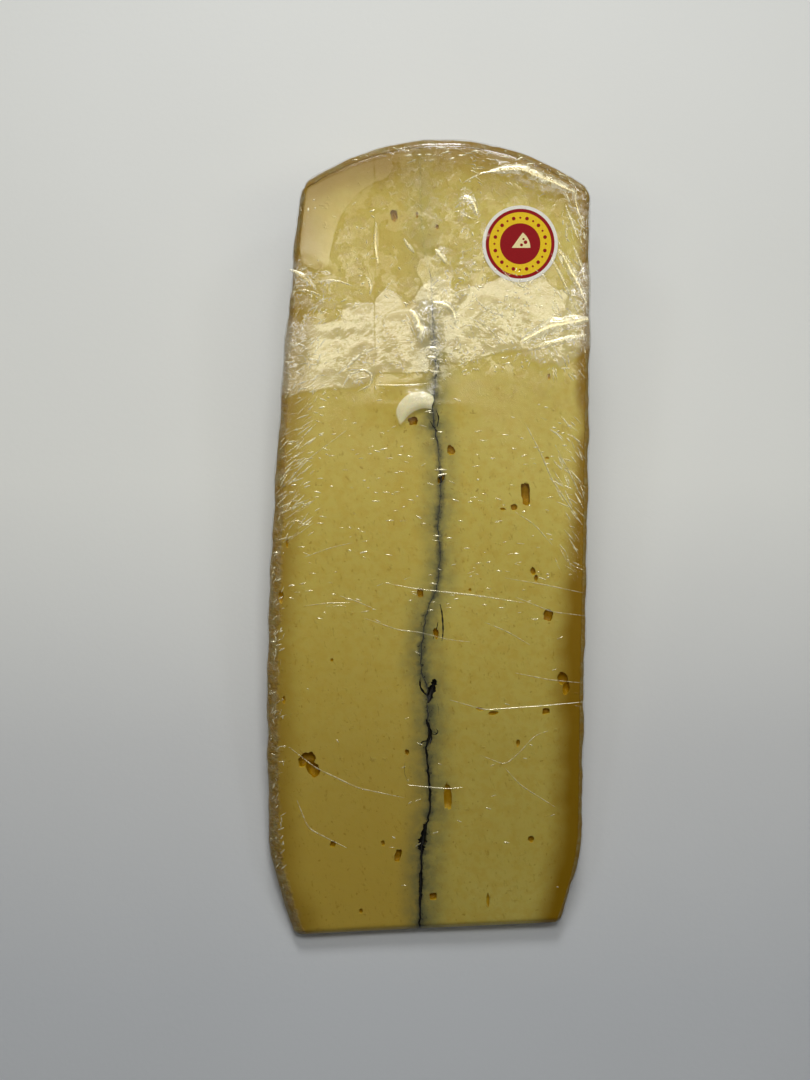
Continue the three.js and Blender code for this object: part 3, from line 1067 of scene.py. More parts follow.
EYES: tuple[Eye, ...] = (
    Eye((394, 215), 1.6, 3.0, 1.2, 8),
    Eye((417, 215), 0.7, 1.5, 0.6),
    Eye((437, 227), 0.9, 1.1, 0.6),
    Eye((549, 377), 0.7, 1.6, 0.5),
    Eye((525.5, 494), 1.9, 5.1, 1.5, 4, 1.0),
    Eye((514, 507), 1.5, 1.4, 0.8, 0, 0.6),
    Eye((503, 509), 1.3, 0.7, 0.5),
    Eye((451, 450), 1.8, 2.2, 1.0, 18, 0.4),
    Eye((441, 478), 1.5, 2.4, 1.5, -20, 0.5),
    Eye((547, 458), 1.0, 0.7, 0.4),
    Eye((413, 421), 2.1, 2.0, 1.6, 0, 0.5),
    Eye((533, 571), 1.2, 1.9, 1.0, 12),
    Eye((536, 578), 1.0, 1.5, 0.8),
    Eye((420, 593), 1.4, 2.1, 1.1, 0, 0.7),
    Eye((436, 633), 1.3, 2.8, 1.2, 10),
    Eye((281, 597), 1.2, 2.8, 0.8),
    Eye((287, 543), 0.7, 2.3, 0.5),
    Eye((548, 615), 2.1, 2.8, 1.2, -14, 0.8),
    Eye((563, 678), 2.4, 3.4, 1.5, 20),
    Eye((566, 688), 1.7, 3.2, 1.3, -8),
    Eye((284, 700), 0.7, 1.9, 0.5),
    Eye((307, 759), 4.6, 3.0, 1.5, 28, 0.4),
    Eye((313, 769), 3.0, 4.0, 2.2, 34, 0.3),
    Eye((407, 752), 1.0, 1.4, 0.8),
    Eye((480, 709), 2.0, 0.8, 0.5, -8),
    Eye((493, 713), 2.4, 1.1, 0.7, 6),
    Eye((546, 711), 1.8, 1.5, 0.9, 12, 0.5),
    Eye((518, 743), 0.9, 1.9, 0.6),
    Eye((448, 796), 1.9, 6.6, 0.7, 4, 0.3),
    Eye((333, 844), 1.5, 1.6, 0.9, 0, 0.3),
    Eye((383, 843), 0.9, 1.4, 0.6),
    Eye((398, 855), 1.6, 3.1, 1.1, -12, 0.6),
    Eye((433, 896), 1.7, 1.7, 1.0, 0, 0.9),
    Eye((488, 900), 0.8, 3.4, 0.5),
    Eye((531, 839), 1.4, 1.6, 0.8),
    Eye((361, 911), 0.9, 1.2, 0.6),
    Eye((332, 660), 0.7, 0.9, 0.5),
    Eye((470, 590), 0.8, 0.8, 0.4),
)


@dataclass(frozen=True)
class Crack:
    """A thin sooty split that branches off the ash line.

    Attributes:
        seen: The photograph's pixels that it passes.
        width: Its greatest width, in millimetres.
        depth: How far down it goes.
        lean: Above 1 its widest place lies towards its last pixel.
    """

    seen: Route
    width: float = 0.3
    depth: float = 1.0
    lean: float = 1.0

    def cutter(self, number: int) -> BMesh:
        """A thin upright blade that follows the split, in millimetres."""
        places, headings = smooth_path([VIEW.on_cut_face(*pixel) for pixel in self.seen], 0, 0.35)
        total = len(places) - 1
        blade = divided_box(Grid(1, total, 1, 0))
        points = coordinates(blade)
        step = np.rint((points[:, 1] + 0.5) * total).astype(int)
        taper = np.sin(math.pi * (0.06 + 0.88 * (step / total) ** self.lean)) ** 0.5
        ragged = 1.0 + 0.5 * np.sin(step * 2.1 + number) * np.sin(step * 0.9 + 2.0 * number)
        low = np.where(points[:, 2] < 0, 0.25, 1.0)
        half = points[:, 0] * self.width * taper * ragged * low
        across = places[step, 0] - headings[step, 1] * half
        along = places[step, 1] + headings[step, 0] * half
        lift = np.where(points[:, 2] < 0, -self.depth * taper, 0.6)
        move_vertices(blade, np.stack([across, along, FORM.face_height(across, along) + lift], axis=1))
        bmesh.ops.recalc_face_normals(blade, faces=blade.faces)
        return blade


CRACKS: tuple[Crack, ...] = (
    Crack(((440, 604), (442, 613), (443, 625), (443, 634), (442, 641)), 0.5, 0.9),
    Crack(((438, 622), (436, 632), (433, 639)), 0.4, 0.7),
    Crack(((435, 679), (433, 687), (430, 694), (428, 703)), 1.9, 2.4),
    Crack(((420, 679), (420, 687), (424, 693), (429, 697)), 0.6, 1.4),
    Crack(((426, 719), (429, 727), (431, 736), (430, 744)), 0.95, 1.6),
    Crack(((431, 734), (436, 735), (439, 731), (436, 729)), 0.36, 0.9),
    Crack(((427, 741), (422, 741), (420, 746)), 0.45, 0.9),
    Crack(((425, 824), (423.5, 836), (421.5, 846), (421, 851)), 2.1, 2.4, 2.0),
    Crack(((422, 864), (420.5, 880), (420.5, 895), (419.5, 908)), 0.85, 2.0),
    Crack(((437, 340), (441, 346), (440, 352)), 0.25, 0.6),
    Crack(((430, 336), (433, 345), (431, 352)), 0.35, 0.6),
    Crack(((439, 360), (438, 368), (441, 374)), 0.3, 0.6),
    Crack(((436, 410), (439, 418), (437, 427)), 0.4, 0.7),
    Crack(((430, 421), (434, 428), (439, 433)), 0.35, 0.6),
    Crack(((435, 436), (438, 441), (438, 447)), 0.45, 0.7),
    Crack(((429, 269), (430, 275), (433, 281)), 0.3, 0.5),
    Crack(((458, 214), (464, 218), (470, 217)), 0.24, 0.4),
    Crack(((405, 763), (404, 772), (407, 780)), 0.14, 0.3),
    Crack(((436, 701), (439, 708), (438, 716)), 0.14, 0.3),
)


@dataclass(frozen=True)
class AshCharacter:
    """How the ash line changes from the tip to the heel, by distance along in millimetres."""

    distances: tuple[float, ...] = (0, 66, 74, 80, 92, 101, 104, 107, 111, 115, 122, 134, 143, 150, 158, 185)
    strengths: tuple[float, ...] = (
        1.0, 1.0, 0.85, 0.30, 0.36, 0.28, 0.72, 0.26, 0.26, 0.95, 1.0, 0.85, 0.55, 0.10, 0.02, 0.0,
    )
    smokes: tuple[float, ...] = (
        1.0, 1.0, 1.0, 0.85, 0.85, 0.80, 0.85, 0.70, 0.75, 0.95, 0.95, 0.80, 0.50, 0.36, 0.34, 0.12,
    )
    crack_ends_at: float = 50.0
    crack_closes_over: float = 6.0
    crack_half_width: float = 0.14

    def strength(self, along: Array) -> Array:
        """How dark the line is."""
        return np.interp(along, self.distances, self.strengths)

    def smoke(self, along: Array) -> Array:
        """How strongly the curd beside the line is stained."""
        return np.interp(along, self.distances, self.smokes)

    def open_part(self, along: Array) -> Array:
        """1 along the open crack, 0 beyond its end."""
        return 1.0 - smoothstep(along, self.crack_ends_at - self.crack_closes_over, self.crack_ends_at)

    def opening(self, along: Array) -> Array:
        """How far each lip of the crack has drawn back on the cut face."""
        wobble = 1.0 + 0.5 * np.sin(along * 0.9 + 1.0) * np.sin(along * 0.37)
        wide = 0.55 * np.exp(-(((along - 20.5) / 1.9) ** 2)) + 0.2 * np.exp(-(((along - 10.5) / 2.6) ** 2))
        wide = wide + 0.3 * np.exp(-(((along - 45.5) / 1.4) ** 2))
        return (self.crack_half_width * wobble + wide) * self.open_part(along)

    def half_thickness(self, along: Array, up: Array) -> Array:
        """Half of the layer's thickness: a hair at the cut face, more inside."""
        uneven = 0.5 + 0.5 * np.sin(along * 1.9 + 1.2 * np.sin(along * 0.43))
        strength = self.strength(along)
        at_face = 0.012 + 0.05 * smoothstep(strength, 0.1, 0.4) + 0.08 * uneven * strength
        return lerp(at_face, 0.24, smoothstep(FORM.height(along) - up, 0.6, 2.5))

    def wall(self, away: float, along: Array, up: Array) -> Array:
        """Place across of the layer's wall on one side, `away` being -1 or 1."""
        return FORM.ash(along, up) + away * self.half_thickness(along, up)


ASH = AshCharacter()
TOUCH = 0.006


@dataclass
class CurdHalf:
    """One milking's curd with its rind, from the rind to the ash.

    Attributes:
        side: Which half it is.
        grid: How finely its box is cut.
        floor: Height of its underside, above the film's folds.
        inner_band: Width of the finer steps beside the ash.
        lip_across: Place across of the middle of the lip of paler curd, whose whiteness is partly a painted
            reflection of the film over it.
        lip_along: The same along.
        lip_turn_degrees: The lip's turn.
        lip_half: Half of the lip's length and width.
        lip_bend: How strongly it is arched.
        lip_rise: Its height.
    """

    side: Side
    grid: Grid = field(default_factory=lambda: Grid(62, 300, 28, 6))
    floor: float = 0.45
    inner_band: float = 1.8
    lip_across: float = -3.2
    lip_along: float = 120.9
    lip_turn_degrees: float = 20.0
    lip_half: Pair = (4.9, 2.0)
    lip_bend: float = 0.10
    lip_rise: float = 1.1

    def build(self) -> Piece:
        """Models the half, cuts its eyes and hands it over."""
        mesh = layer_mesh(self._layer(), self.grid)
        self._sculpt(mesh)
        piece = to_object(f"curd_{self.side.value}", mesh, [CURD, EYE_WALL, SOOT_WALL])
        self._cut_eyes(piece)
        self._dress(piece)
        return settle(piece, "curd", f"paste_{self.side.value}")

    def _layer(self) -> Layer:
        """The half as a layer between its rind and the ash."""
        if self.side is Side.LEFT:
            return Layer(
                floor=self.floor,
                right_wall=lambda along, up: ASH.wall(-1.0, along, up) - TOUCH,
                inner_band=self.inner_band,
            )
        return Layer(
            floor=self.floor,
            left_wall=lambda along, up: ASH.wall(1.0, along, up) + TOUCH,
            inner_band=self.inner_band,
        )

    def _sculpt(self, mesh: BMesh) -> None:
        """Adds the rind's fine lumps, the crack's drawn-back lips and the lip of curd."""
        points = coordinates(mesh)
        mesh.normal_update()
        normals = np.array([vertex.normal for vertex in mesh.verts])
        rind = FORM.rind_depth(points)
        on_rind = 1.0 - smoothstep(rind, 0.15, 1.0)
        lumps = 0.16 * noise_at(points, 3.4, 1.0) + 0.10 * noise_at(points, 1.7, 2.0)
        on_cut = smoothstep(rind, 1.0, 3.0) * (normals[:, 2] > 0.5)
        ripple = 0.035 * noise_at(points, 2.6, 3.0) * on_cut
        points += normals * (lumps * on_rind + ripple)[:, None]

        away = 1.0 if self.side is Side.RIGHT else -1.0
        depth = FORM.height(points[:, 1]) - points[:, 2]
        distance = np.abs(FORM.ash_distance(points)) - 0.1
        beside = np.exp(-np.maximum(depth, 0.0) / 1.3) * np.exp(-np.maximum(distance, 0.0) / 0.7)
        points[:, 0] += away * ASH.opening(points[:, 1]) * beside
        if self.side is Side.LEFT:
            points[:, 2] += self.lip_rise * self._lip(points) * (normals[:, 2] > 0.5)
        move_vertices(mesh, points)

    def _lip(self, points: Array) -> Array:
        """1 on the arch of paler curd beside the ash, its whiteness partly a painted reflection."""
        turn = math.radians(self.lip_turn_degrees)
        side = points[:, 0] - self.lip_across
        ahead = points[:, 1] - self.lip_along
        lengthwise = side * math.cos(turn) + ahead * math.sin(turn)
        crosswise = ahead * math.cos(turn) - side * math.sin(turn) + self.lip_bend * lengthwise**2
        half_length, half_width = self.lip_half
        return np.exp(-((lengthwise / half_length) ** 6)) * np.exp(-((crosswise / half_width) ** 6))

    def _cut_eyes(self, piece: Piece) -> None:
        """Takes the eyes out of the half with one Boolean step on their collection."""
        collection = bpy.data.collections.new("eye_cutters")
        bpy.context.scene.collection.children.link(collection)
        for number, eye in enumerate(EYES):
            across, along = VIEW.on_cut_face(*eye.seen)
            if self._reached(across, along, eye.width):
                self._add_cutter(collection, f"eye_cutter_{number}", eye.cutter(number), EYE_WALL)
        for number, crack in enumerate(CRACKS):
            across, along = VIEW.on_cut_face(*crack.seen[1])
            if self._reached(across, along, 1.2):
                self._add_cutter(collection, f"crack_cutter_{number}", crack.cutter(number), SOOT_WALL)
        cut = piece.modifiers.new("eyes", "BOOLEAN")
        cut.operation = "DIFFERENCE"
        cut.operand_type = "COLLECTION"
        cut.collection = collection
        cut.solver = "EXACT"
        cut.material_mode = "TRANSFER"
        apply_modifiers(piece)
        for cutter in list(collection.objects):
            bpy.data.objects.remove(cutter)
        bpy.data.collections.remove(collection)

    def _reached(self, across: float, along: float, reach: float) -> bool:
        """Whether a cutter of this reach touches the half."""
        gap = float(FORM.ash_distance(np.array([[across, along, FORM.height(along)]]))[0])
        return gap < reach if self.side is Side.LEFT else gap > -reach

    def _add_cutter(
        self,
        collection: bpy.types.Collection,
        name: str,
        mesh: BMesh,
        material: Material,
    ) -> None:
        """Puts one cutter into the collection."""
        cutter = to_object(name, mesh, [material])
        bpy.context.scene.collection.objects.unlink(cutter)
        collection.objects.link(cutter)

    def _dress(self, piece: Piece) -> None:
        """Paints what the material reads: skin, warmth, ripeness, stains, and depth for the eyes' painted
        shade.
        """
        points = object_points(piece)
        along = points[:, 1]
        distance = np.abs(FORM.ash_distance(points))
        strength = ASH.strength(along)
        wander = noise_at(points, 8.0, 4.0)
        near_tip = 1.0 - smoothstep(along, 60.0, 72.0)
        reach = 1.0 + (0.35 if self.side is Side.RIGHT else 0.0) * near_tip + 0.2 * wander
        tight = np.exp(-((distance / (0.85 + 0.5 * wander)) ** 2))
        paint(piece, "beside", distance / reach)
        paint(piece, "smoke", ASH.smoke(along))
        paint(piece, "smudge", strength * tight)
        paint(piece, "skin", FORM.skin_share(points))
        paint(piece, "warm", FORM.warmth(points))
        riper = 1.0 if self.side is Side.LEFT else 0.1
        paint(piece, "ripe", riper * (1.0 - 0.8 * smoothstep(along + 6.0 * wander, 5.0, 85.0)))
        # Depth below the cut face, which darkens the eyes as painted shade.
        paint(piece, "shade_depth", FORM.height(along) - points[:, 2])
        if self.side is Side.LEFT:
            # The raised arch, painted pale: paler curd, and partly a painted reflection.
            paint(piece, "pale", self._lip(points))
        log.info("%s dressed", piece.name)


@dataclass
class AshLine:
    """The layer of ash, right through the wedge, sunk where the crack has opened.

    Attributes:
        grid: How finely its box is cut.
        floor: Height of its underside.
        inset: How far its skin lies inside the curd's.
        crack_depth: How far it is sunk in the open crack.
        faded_rise: How far it is raised where it fades, so that curd and ash lie flush.
    """

    grid: Grid = field(default_factory=lambda: Grid(2, 300, 28, 6))
    floor: float = 0.5
    inset: float = 0.06
    crack_depth: float = 1.7
    faded_rise: float = 0.058

    def build(self) -> Piece:
        """Models the layer and hands it over."""
        layer = Layer(
            offset=-self.inset,
            floor=self.floor,
            left_wall=lambda along, up: ASH.wall(-1.0, along, up),
            right_wall=lambda along, up: ASH.wall(1.0, along, up),
        )
        mesh = layer_mesh(layer, self.grid)
        points = coordinates(mesh)
        depth = FORM.height(points[:, 1]) - points[:, 2]
        sunk = self.crack_depth * ASH.open_part(points[:, 1])
        room = np.maximum(points[:, 2] - self.floor, 0.0)
        points[:, 2] -= np.minimum(sunk, room * 0.7) * np.exp(-np.maximum(depth, 0.0) / 2.5)
        faded = 1.0 - smoothstep(ASH.strength(points[:, 1]), 0.4, 0.75)
        points[:, 2] += self.faded_rise * faded * (depth < 0.3)
        move_vertices(mesh, points)
        piece = to_object("ash_line", mesh, [SOOT])
        points = object_points(piece)
        paint(piece, "strength", ASH.strength(points[:, 1]))
        paint(piece, "rind", np.maximum(FORM.rind_depth(points), 0.0))
        return settle(piece, "ash", "ash_layer")


# ---------------------------------------------------------------- film


@dataclass(frozen=True)
class Crumple:
    """A patch where the film is crushed into facets.

    Attributes:
        seen: The photograph's pixel at its middle.
        reach: Half its size in pixels, across and along.
        rise: Height of its facets in millimetres.
        size: Size of a facet in millimetres.
        turn: Its turn in degrees.
        raggedness: How far its outline wanders, as a share of its size.
        furthest: Share of its size beyond which its outline never reaches.
    """

    seen: Pair
    reach: Pair
    rise: float
    size: float = 2.2
    turn: float = 0.0
    raggedness: float = 0.4
    furthest: float = 2.5

    def weight(self, points: Array) -> Array:
        """1 in the patch's middle, 0 outside it."""
        across, along = VIEW.on_cut_face(*self.seen)
        turn = math.radians(self.turn)
        side, ahead = points[:, 0] - across, points[:, 1] - along
        width = (side * math.cos(turn) + ahead * math.sin(turn)) / (self.reach[0] * MM_PER_PIXEL)
        length = (ahead * math.cos(turn) - side * math.sin(turn)) / (self.reach[1] * MM_PER_PIXEL)
        apart = np.hypot(width, length)
        near = apart < self.furthest
        ragged = 1.0 + self.raggedness * noise_at(points[near], 5.0, self.seen[0])
        weight = np.zeros(len(points))
        weight[near] = 1.0 - smoothstep(apart[near] * ragged, 0.45, 1.0)
        return weight


CRUMPLES: tuple[Crumple, ...] = (
    Crumple((577, 315), (16, 62), 0.40, 2.2, -8),
    Crumple((552, 345), (40, 24), 0.20, 2.4, 14),
    Crumple((497, 325), (46, 30), 0.13, 2.6, -10),
    Crumple((452, 285), (24, 30), 0.26, 2.0, -20),
    Crumple((424, 325), (18, 26), 0.36, 1.9, 10),
    Crumple((362, 368), (26, 22), 0.20, 2.3, 20),
    Crumple((312, 285), (30, 28), 0.22, 2.0, 10),
    Crumple((296, 345), (16, 42), 0.28, 2.0, -20),
    Crumple((340, 320), (46, 22), 0.10, 2.6, 8),
    Crumple((466, 207), (14, 18), 0.30, 2.2, 0),
    Crumple((442, 256), (14, 12), 0.26, 1.8, 0),
    Crumple((577, 215), (16, 36), 0.24, 2.2, 0),
    Crumple((533, 180), (50, 12), 0.34, 2.2, -20),
    Crumple((436, 350), (12, 60), 0.22, 1.6, 0),
    Crumple((416, 408), (30, 16), 0.14, 1.8, 18),
    Crumple((455, 225), (46, 40), 0.08, 2.4, 0),
    Crumple((402, 345), (26, 38), 0.13, 1.9, 0),
    Crumple((330, 362), (26, 28), 0.10, 2.2, 0),
    Crumple((460, 355), (26, 20), 0.10, 2.0, 0),
)


@dataclass(frozen=True)
class Outline:
    """A closed outline on the cut face, by the photograph's pixels, counter-clockwise as seen."""

    seen: Route

    def inside(self, points: Array) -> Array:
        """How far inside the outline each point lies, negative outside it, in millimetres."""
        corners = smooth_loop([VIEW.on_cut_face(*pixel) for pixel in self.seen])
        place = points[:, None, :2]
        ahead = np.roll(corners, -1, axis=0)[None]
        edge = ahead - corners[None]
        to_corner = place - corners[None]
        share = np.clip(np.sum(to_corner * edge, axis=2) / np.sum(edge * edge, axis=2), 0.0, 1.0)
        nearest = np.min(np.linalg.norm(to_corner - share[..., None] * edge, axis=2), axis=1)
        spans = (corners[None, :, 1] > place[..., 1]) != (ahead[..., 1] > place[..., 1])
        rise = np.where(edge[..., 1] == 0.0, FLOAT_GUARD, edge[..., 1])
        crossing = corners[None, :, 0] + (place[..., 1] - corners[None, :, 1]) * edge[..., 0] / rise
        within = np.sum(spans & (place[..., 0] < crossing), axis=1) % 2 == 1
        return np.where(within, nearest, -nearest)


def smooth_loop(corners: Sequence[Pair], rounds: int = 2) -> Array:
    """A closed line with its corners cut off `rounds` times."""
    loop = np.array(corners, float)
    for _ in range(rounds):
        ahead = np.roll(loop, -1, axis=0)
        loop = np.stack([0.75 * loop + 0.25 * ahead, 0.25 * loop + 0.75 * ahead], axis=1).reshape(-1, 2)
    return loop


LIFTED: tuple[Outline, ...] = (
    Outline((
        (301, 186), (345, 160), (392, 153), (393, 170), (386, 180), (370, 184), (350, 202),
        (338, 222), (331, 250), (329, 268), (318, 272), (297, 262),
    )),
    Outline(((373, 224), (378, 220), (380, 240), (377, 262), (374, 250))),
    Outline(((484, 146), (516, 146), (520, 160), (500, 168), (486, 160))),
)


# Edge of the slack sheet over the wide end, where the film also carries a painted white sheen.
SLACK_AND_PAINTED_SHEEN_EDGE: Route = (
    (285, 398), (300, 396), (330, 392), (352, 392), (374, 383), (376, 377), (428, 377), (434, 362),
    (446, 356), (452, 368), (470, 366), (500, 356), (540, 352), (560, 372), (592, 350),
)


@dataclass(frozen=True)
class Pleat:
    """A thin fold of film standing on the sheet.

    Attributes:
        seen: The photograph's pixels that it passes.
        width: Its width in millimetres.
        rise: Its height in millimetres.
        white: How white it is, 0 to 1.
    """

    seen: Route
    width: float = 0.30
    rise: float = 0.16
    white: float = 0.8


PLEATS: tuple[Pleat, ...] = (
    Pleat(((347, 430), (310, 458), (275, 495))),
    Pleat(((305, 557), (330, 548), (352, 543))),
    Pleat(((385, 583), (416, 589), (480, 596), (525, 603)), 0.42, 0.2),
    Pleat(((340, 596), (356, 601), (372, 608))),
    Pleat(((305, 606), (328, 603), (350, 603))),
    Pleat(((364, 618), (398, 630), (418, 632), (450, 640), (470, 642))),
    Pleat(((525, 423), (540, 452), (552, 480), (582, 525)), 0.45, 0.22),
    Pleat(((555, 445), (568, 470), (583, 500)), 0.4, 0.2),
    Pleat(((515, 512), (535, 525), (552, 545))),
    Pleat(((505, 578), (545, 585), (583, 593))),
    Pleat(((515, 597), (552, 612), (585, 616))),
    Pleat(((484, 622), (508, 632), (530, 645))),
    Pleat(((515, 673), (550, 680), (582, 683))),
    Pleat(((450, 700), (485, 710), (540, 706), (583, 702)), 0.36, 0.18),
    Pleat(((289, 747), (316, 768), (358, 788), (405, 798)), 0.36, 0.18),
    Pleat(((408, 785), (447, 789), (463, 787)), 0.4, 0.2),
    Pleat(((297, 800), (308, 828), (327, 838), (347, 848)), 0.4, 0.2),
    Pleat(((480, 755), (505, 765), (520, 752), (535, 735), (548, 731))),
    Pleat(((505, 768), (520, 785), (555, 807))),
    Pleat(((424, 258), (432, 272), (440, 288), (446, 308)), 7.0, 0.06, 0.22),
    Pleat(((433, 303), (445, 304), (454, 310), (455, 326)), 1.5, 0.3),
    Pleat(((410, 311), (418, 318), (422, 330), (420, 344)), 2.2, 0.3),
    Pleat(((406, 314), (410, 324), (415, 336)), 0.6, 0.2),
    Pleat(((425, 349), (434, 348), (443, 350)), 0.9, 0.2),
    Pleat(((425, 358), (434, 357), (443, 361)), 0.8, 0.2),
    Pleat(((428, 370), (435, 374), (441, 372)), 0.7, 0.2),
    Pleat(((376, 222), (375, 242), (378, 264)), 0.9, 0.15, 0.6),
    Pleat(((521, 342), (548, 328), (588, 319)), 3.4, 0.25, 0.7),
    Pleat(((528, 350), (556, 342), (586, 336)), 1.6, 0.2, 0.6),
    Pleat(((490, 172), (518, 168), (548, 180), (574, 192)), 2.6, 0.3, 0.75),
    Pleat(((462, 184), (480, 174), (500, 171)), 0.6, 0.15),
    Pleat(((459, 200), (468, 196), (475, 204), (477, 216)), 1.6, 0.25, 0.8),
    Pleat(((461, 212), (468, 219), (478, 220)), 0.6, 0.2),
    Pleat(((435, 250), (442, 257), (448, 265)), 1.5, 0.2, 0.8),
    Pleat(((404, 239), (409, 247), (414, 253)), 1.0, 0.2, 0.8),
    Pleat(((559, 250), (568, 264), (578, 284), (586, 304)), 2.0, 0.3, 0.7),
    Pleat(((551, 258), (561, 276), (570, 296)), 0.8, 0.25, 0.8),
    Pleat(((573, 246), (580, 262), (585, 282)), 0.8, 0.25, 0.8),
    Pleat(((565, 205), (572, 222), (578, 240)), 0.7, 0.2, 0.8),
    Pleat(((574, 190), (577, 208), (583, 226)), 0.9, 0.2, 0.7),
    Pleat(((338, 374), (350, 364), (364, 352), (380, 347)), 0.8, 0.2, 0.8),
    Pleat(((342, 388), (350, 374), (362, 369), (373, 374), (371, 386), (358, 391)), 0.7, 0.2, 0.9),
    Pleat(((352, 384), (358, 377), (366, 378)), 0.6, 0.2, 0.9),
    Pleat(((290, 270), (303, 276), (316, 290)), 1.4, 0.2, 0.5),
    Pleat(((292, 292), (306, 290), (322, 296)), 0.7, 0.2, 0.6),
    Pleat(((318, 282), (336, 280), (352, 286)), 0.5, 0.15, 0.7),
    Pleat(((366, 276), (372, 284), (370, 296)), 0.8, 0.2, 0.7),
    Pleat(((500, 268), (514, 284), (530, 290)), 0.5, 0.2, 0.7),
    Pleat(((476, 300), (490, 312), (504, 316)), 0.7, 0.2, 0.8),
    Pleat(((470, 318), (486, 326), (506, 344)), 0.5, 0.2, 0.7),
    Pleat(((376, 385), (400, 386), (428, 384)), 0.4, 0.1, 0.6),
    Pleat(((440, 475), (434, 477), (447, 474)), 0.7, 0.2),
    Pleat(((434, 470), (440, 470), (447, 470)), 0.5, 0.2),
)


@dataclass(frozen=True)
class Flurry:
    """A zone of many short, thin glints that lie about one direction.

    Attributes:
        seen: Left, top, right and bottom in the photograph's pixels.
        count: How many there are.
        turn: Their direction in degrees, seen from above.
        spread: How far they turn from it, in degrees.
        lengths: Least and greatest length in millimetres.
        widths: Least and greatest width in millimetres.
        whites: Least and greatest whiteness.
        rises: Least and greatest height in millimetres.
        clearance: How far they keep from the cut face's edges, in millimetres.
    """

    seen: tuple[float, float, float, float]
    count: int
    turn: float = 0.0
    spread: float = 14.0
    lengths: Pair = (0.6, 1.9)
    widths: Pair = (0.20, 0.42)
    whites: Pair = (0.45, 1.3)
    rises: Pair = (0.08, 0.17)
    clearance: float = 0.4

    def paths(self, draw: random.Random) -> Iterator[list[Pair]]:
        """The two ends of each glint on the cut face."""
        left, top, right, bottom = self.seen
        for _ in range(self.count):
            pixel = (draw.uniform(left, right), draw.uniform(top, bottom))
            across, along = VIEW.on_cut_face(*pixel)
            turn = math.radians(self.turn + draw.gauss(0.0, self.spread))
            half = draw.uniform(*self.lengths) / 2
            side, ahead = half * math.cos(turn), half * math.sin(turn)
            if self._on_face(across, along, abs(side) + self.clearance, abs(ahead) + self.clearance):
                yield [(across - side, along - ahead), (across + side, along + ahead)]

    def _on_face(self, across: float, along: float, beside: float, before: float) -> bool:
        """Whether a glint with this reach lies wholly on the upper cut face."""
        left, right = (float(wall[0]) for wall in FORM.walls(np.array([along])))
        return left + beside < across < right - beside and along + before < FORM.heel_at(across)


FLURRIES: tuple[Flurry, ...] = (
    Flurry((290, 400, 575, 620), 230, 0.0, 12.0),
    Flurry((300, 200, 400, 400), 80, 0.0, 50.0, (0.4, 1.4)),
    Flurry((440, 270, 545, 372), 260, 20.0, 60.0, (0.4, 1.3)),
    Flurry((455, 180, 485, 300), 60, 30.0, 60.0, (0.4, 1.4)),
    Flurry((400, 300, 470, 380), 70, 10.0, 50.0, (0.4, 1.6)),
    Flurry((552, 240, 588, 380), 80, -60.0, 18.0, (1.0, 3.4)),
    Flurry((560, 180, 588, 250), 30, -70.0, 20.0, (1.0, 3.0)),
    Flurry((284, 270, 325, 400), 110, 35.0, 35.0, (0.8, 2.6)),
    Flurry((268, 395, 312, 540), 120, 36.0, 12.0, (1.4, 5.0)),
    Flurry((556, 420, 588, 570), 80, -50.0, 16.0, (1.2, 4.2)),
    Flurry((266, 540, 284, 900), 110, 50.0, 30.0, (0.6, 1.8)),
    Flurry((470, 150, 575, 185), 60, -18.0, 22.0, (0.6, 2.4)),
    Flurry((330, 148, 480, 162), 40, 0.0, 14.0, (0.6, 2.2)),
    Flurry((300, 620, 580, 900), 30, -4.0, 25.0, (0.5, 1.5)),
)


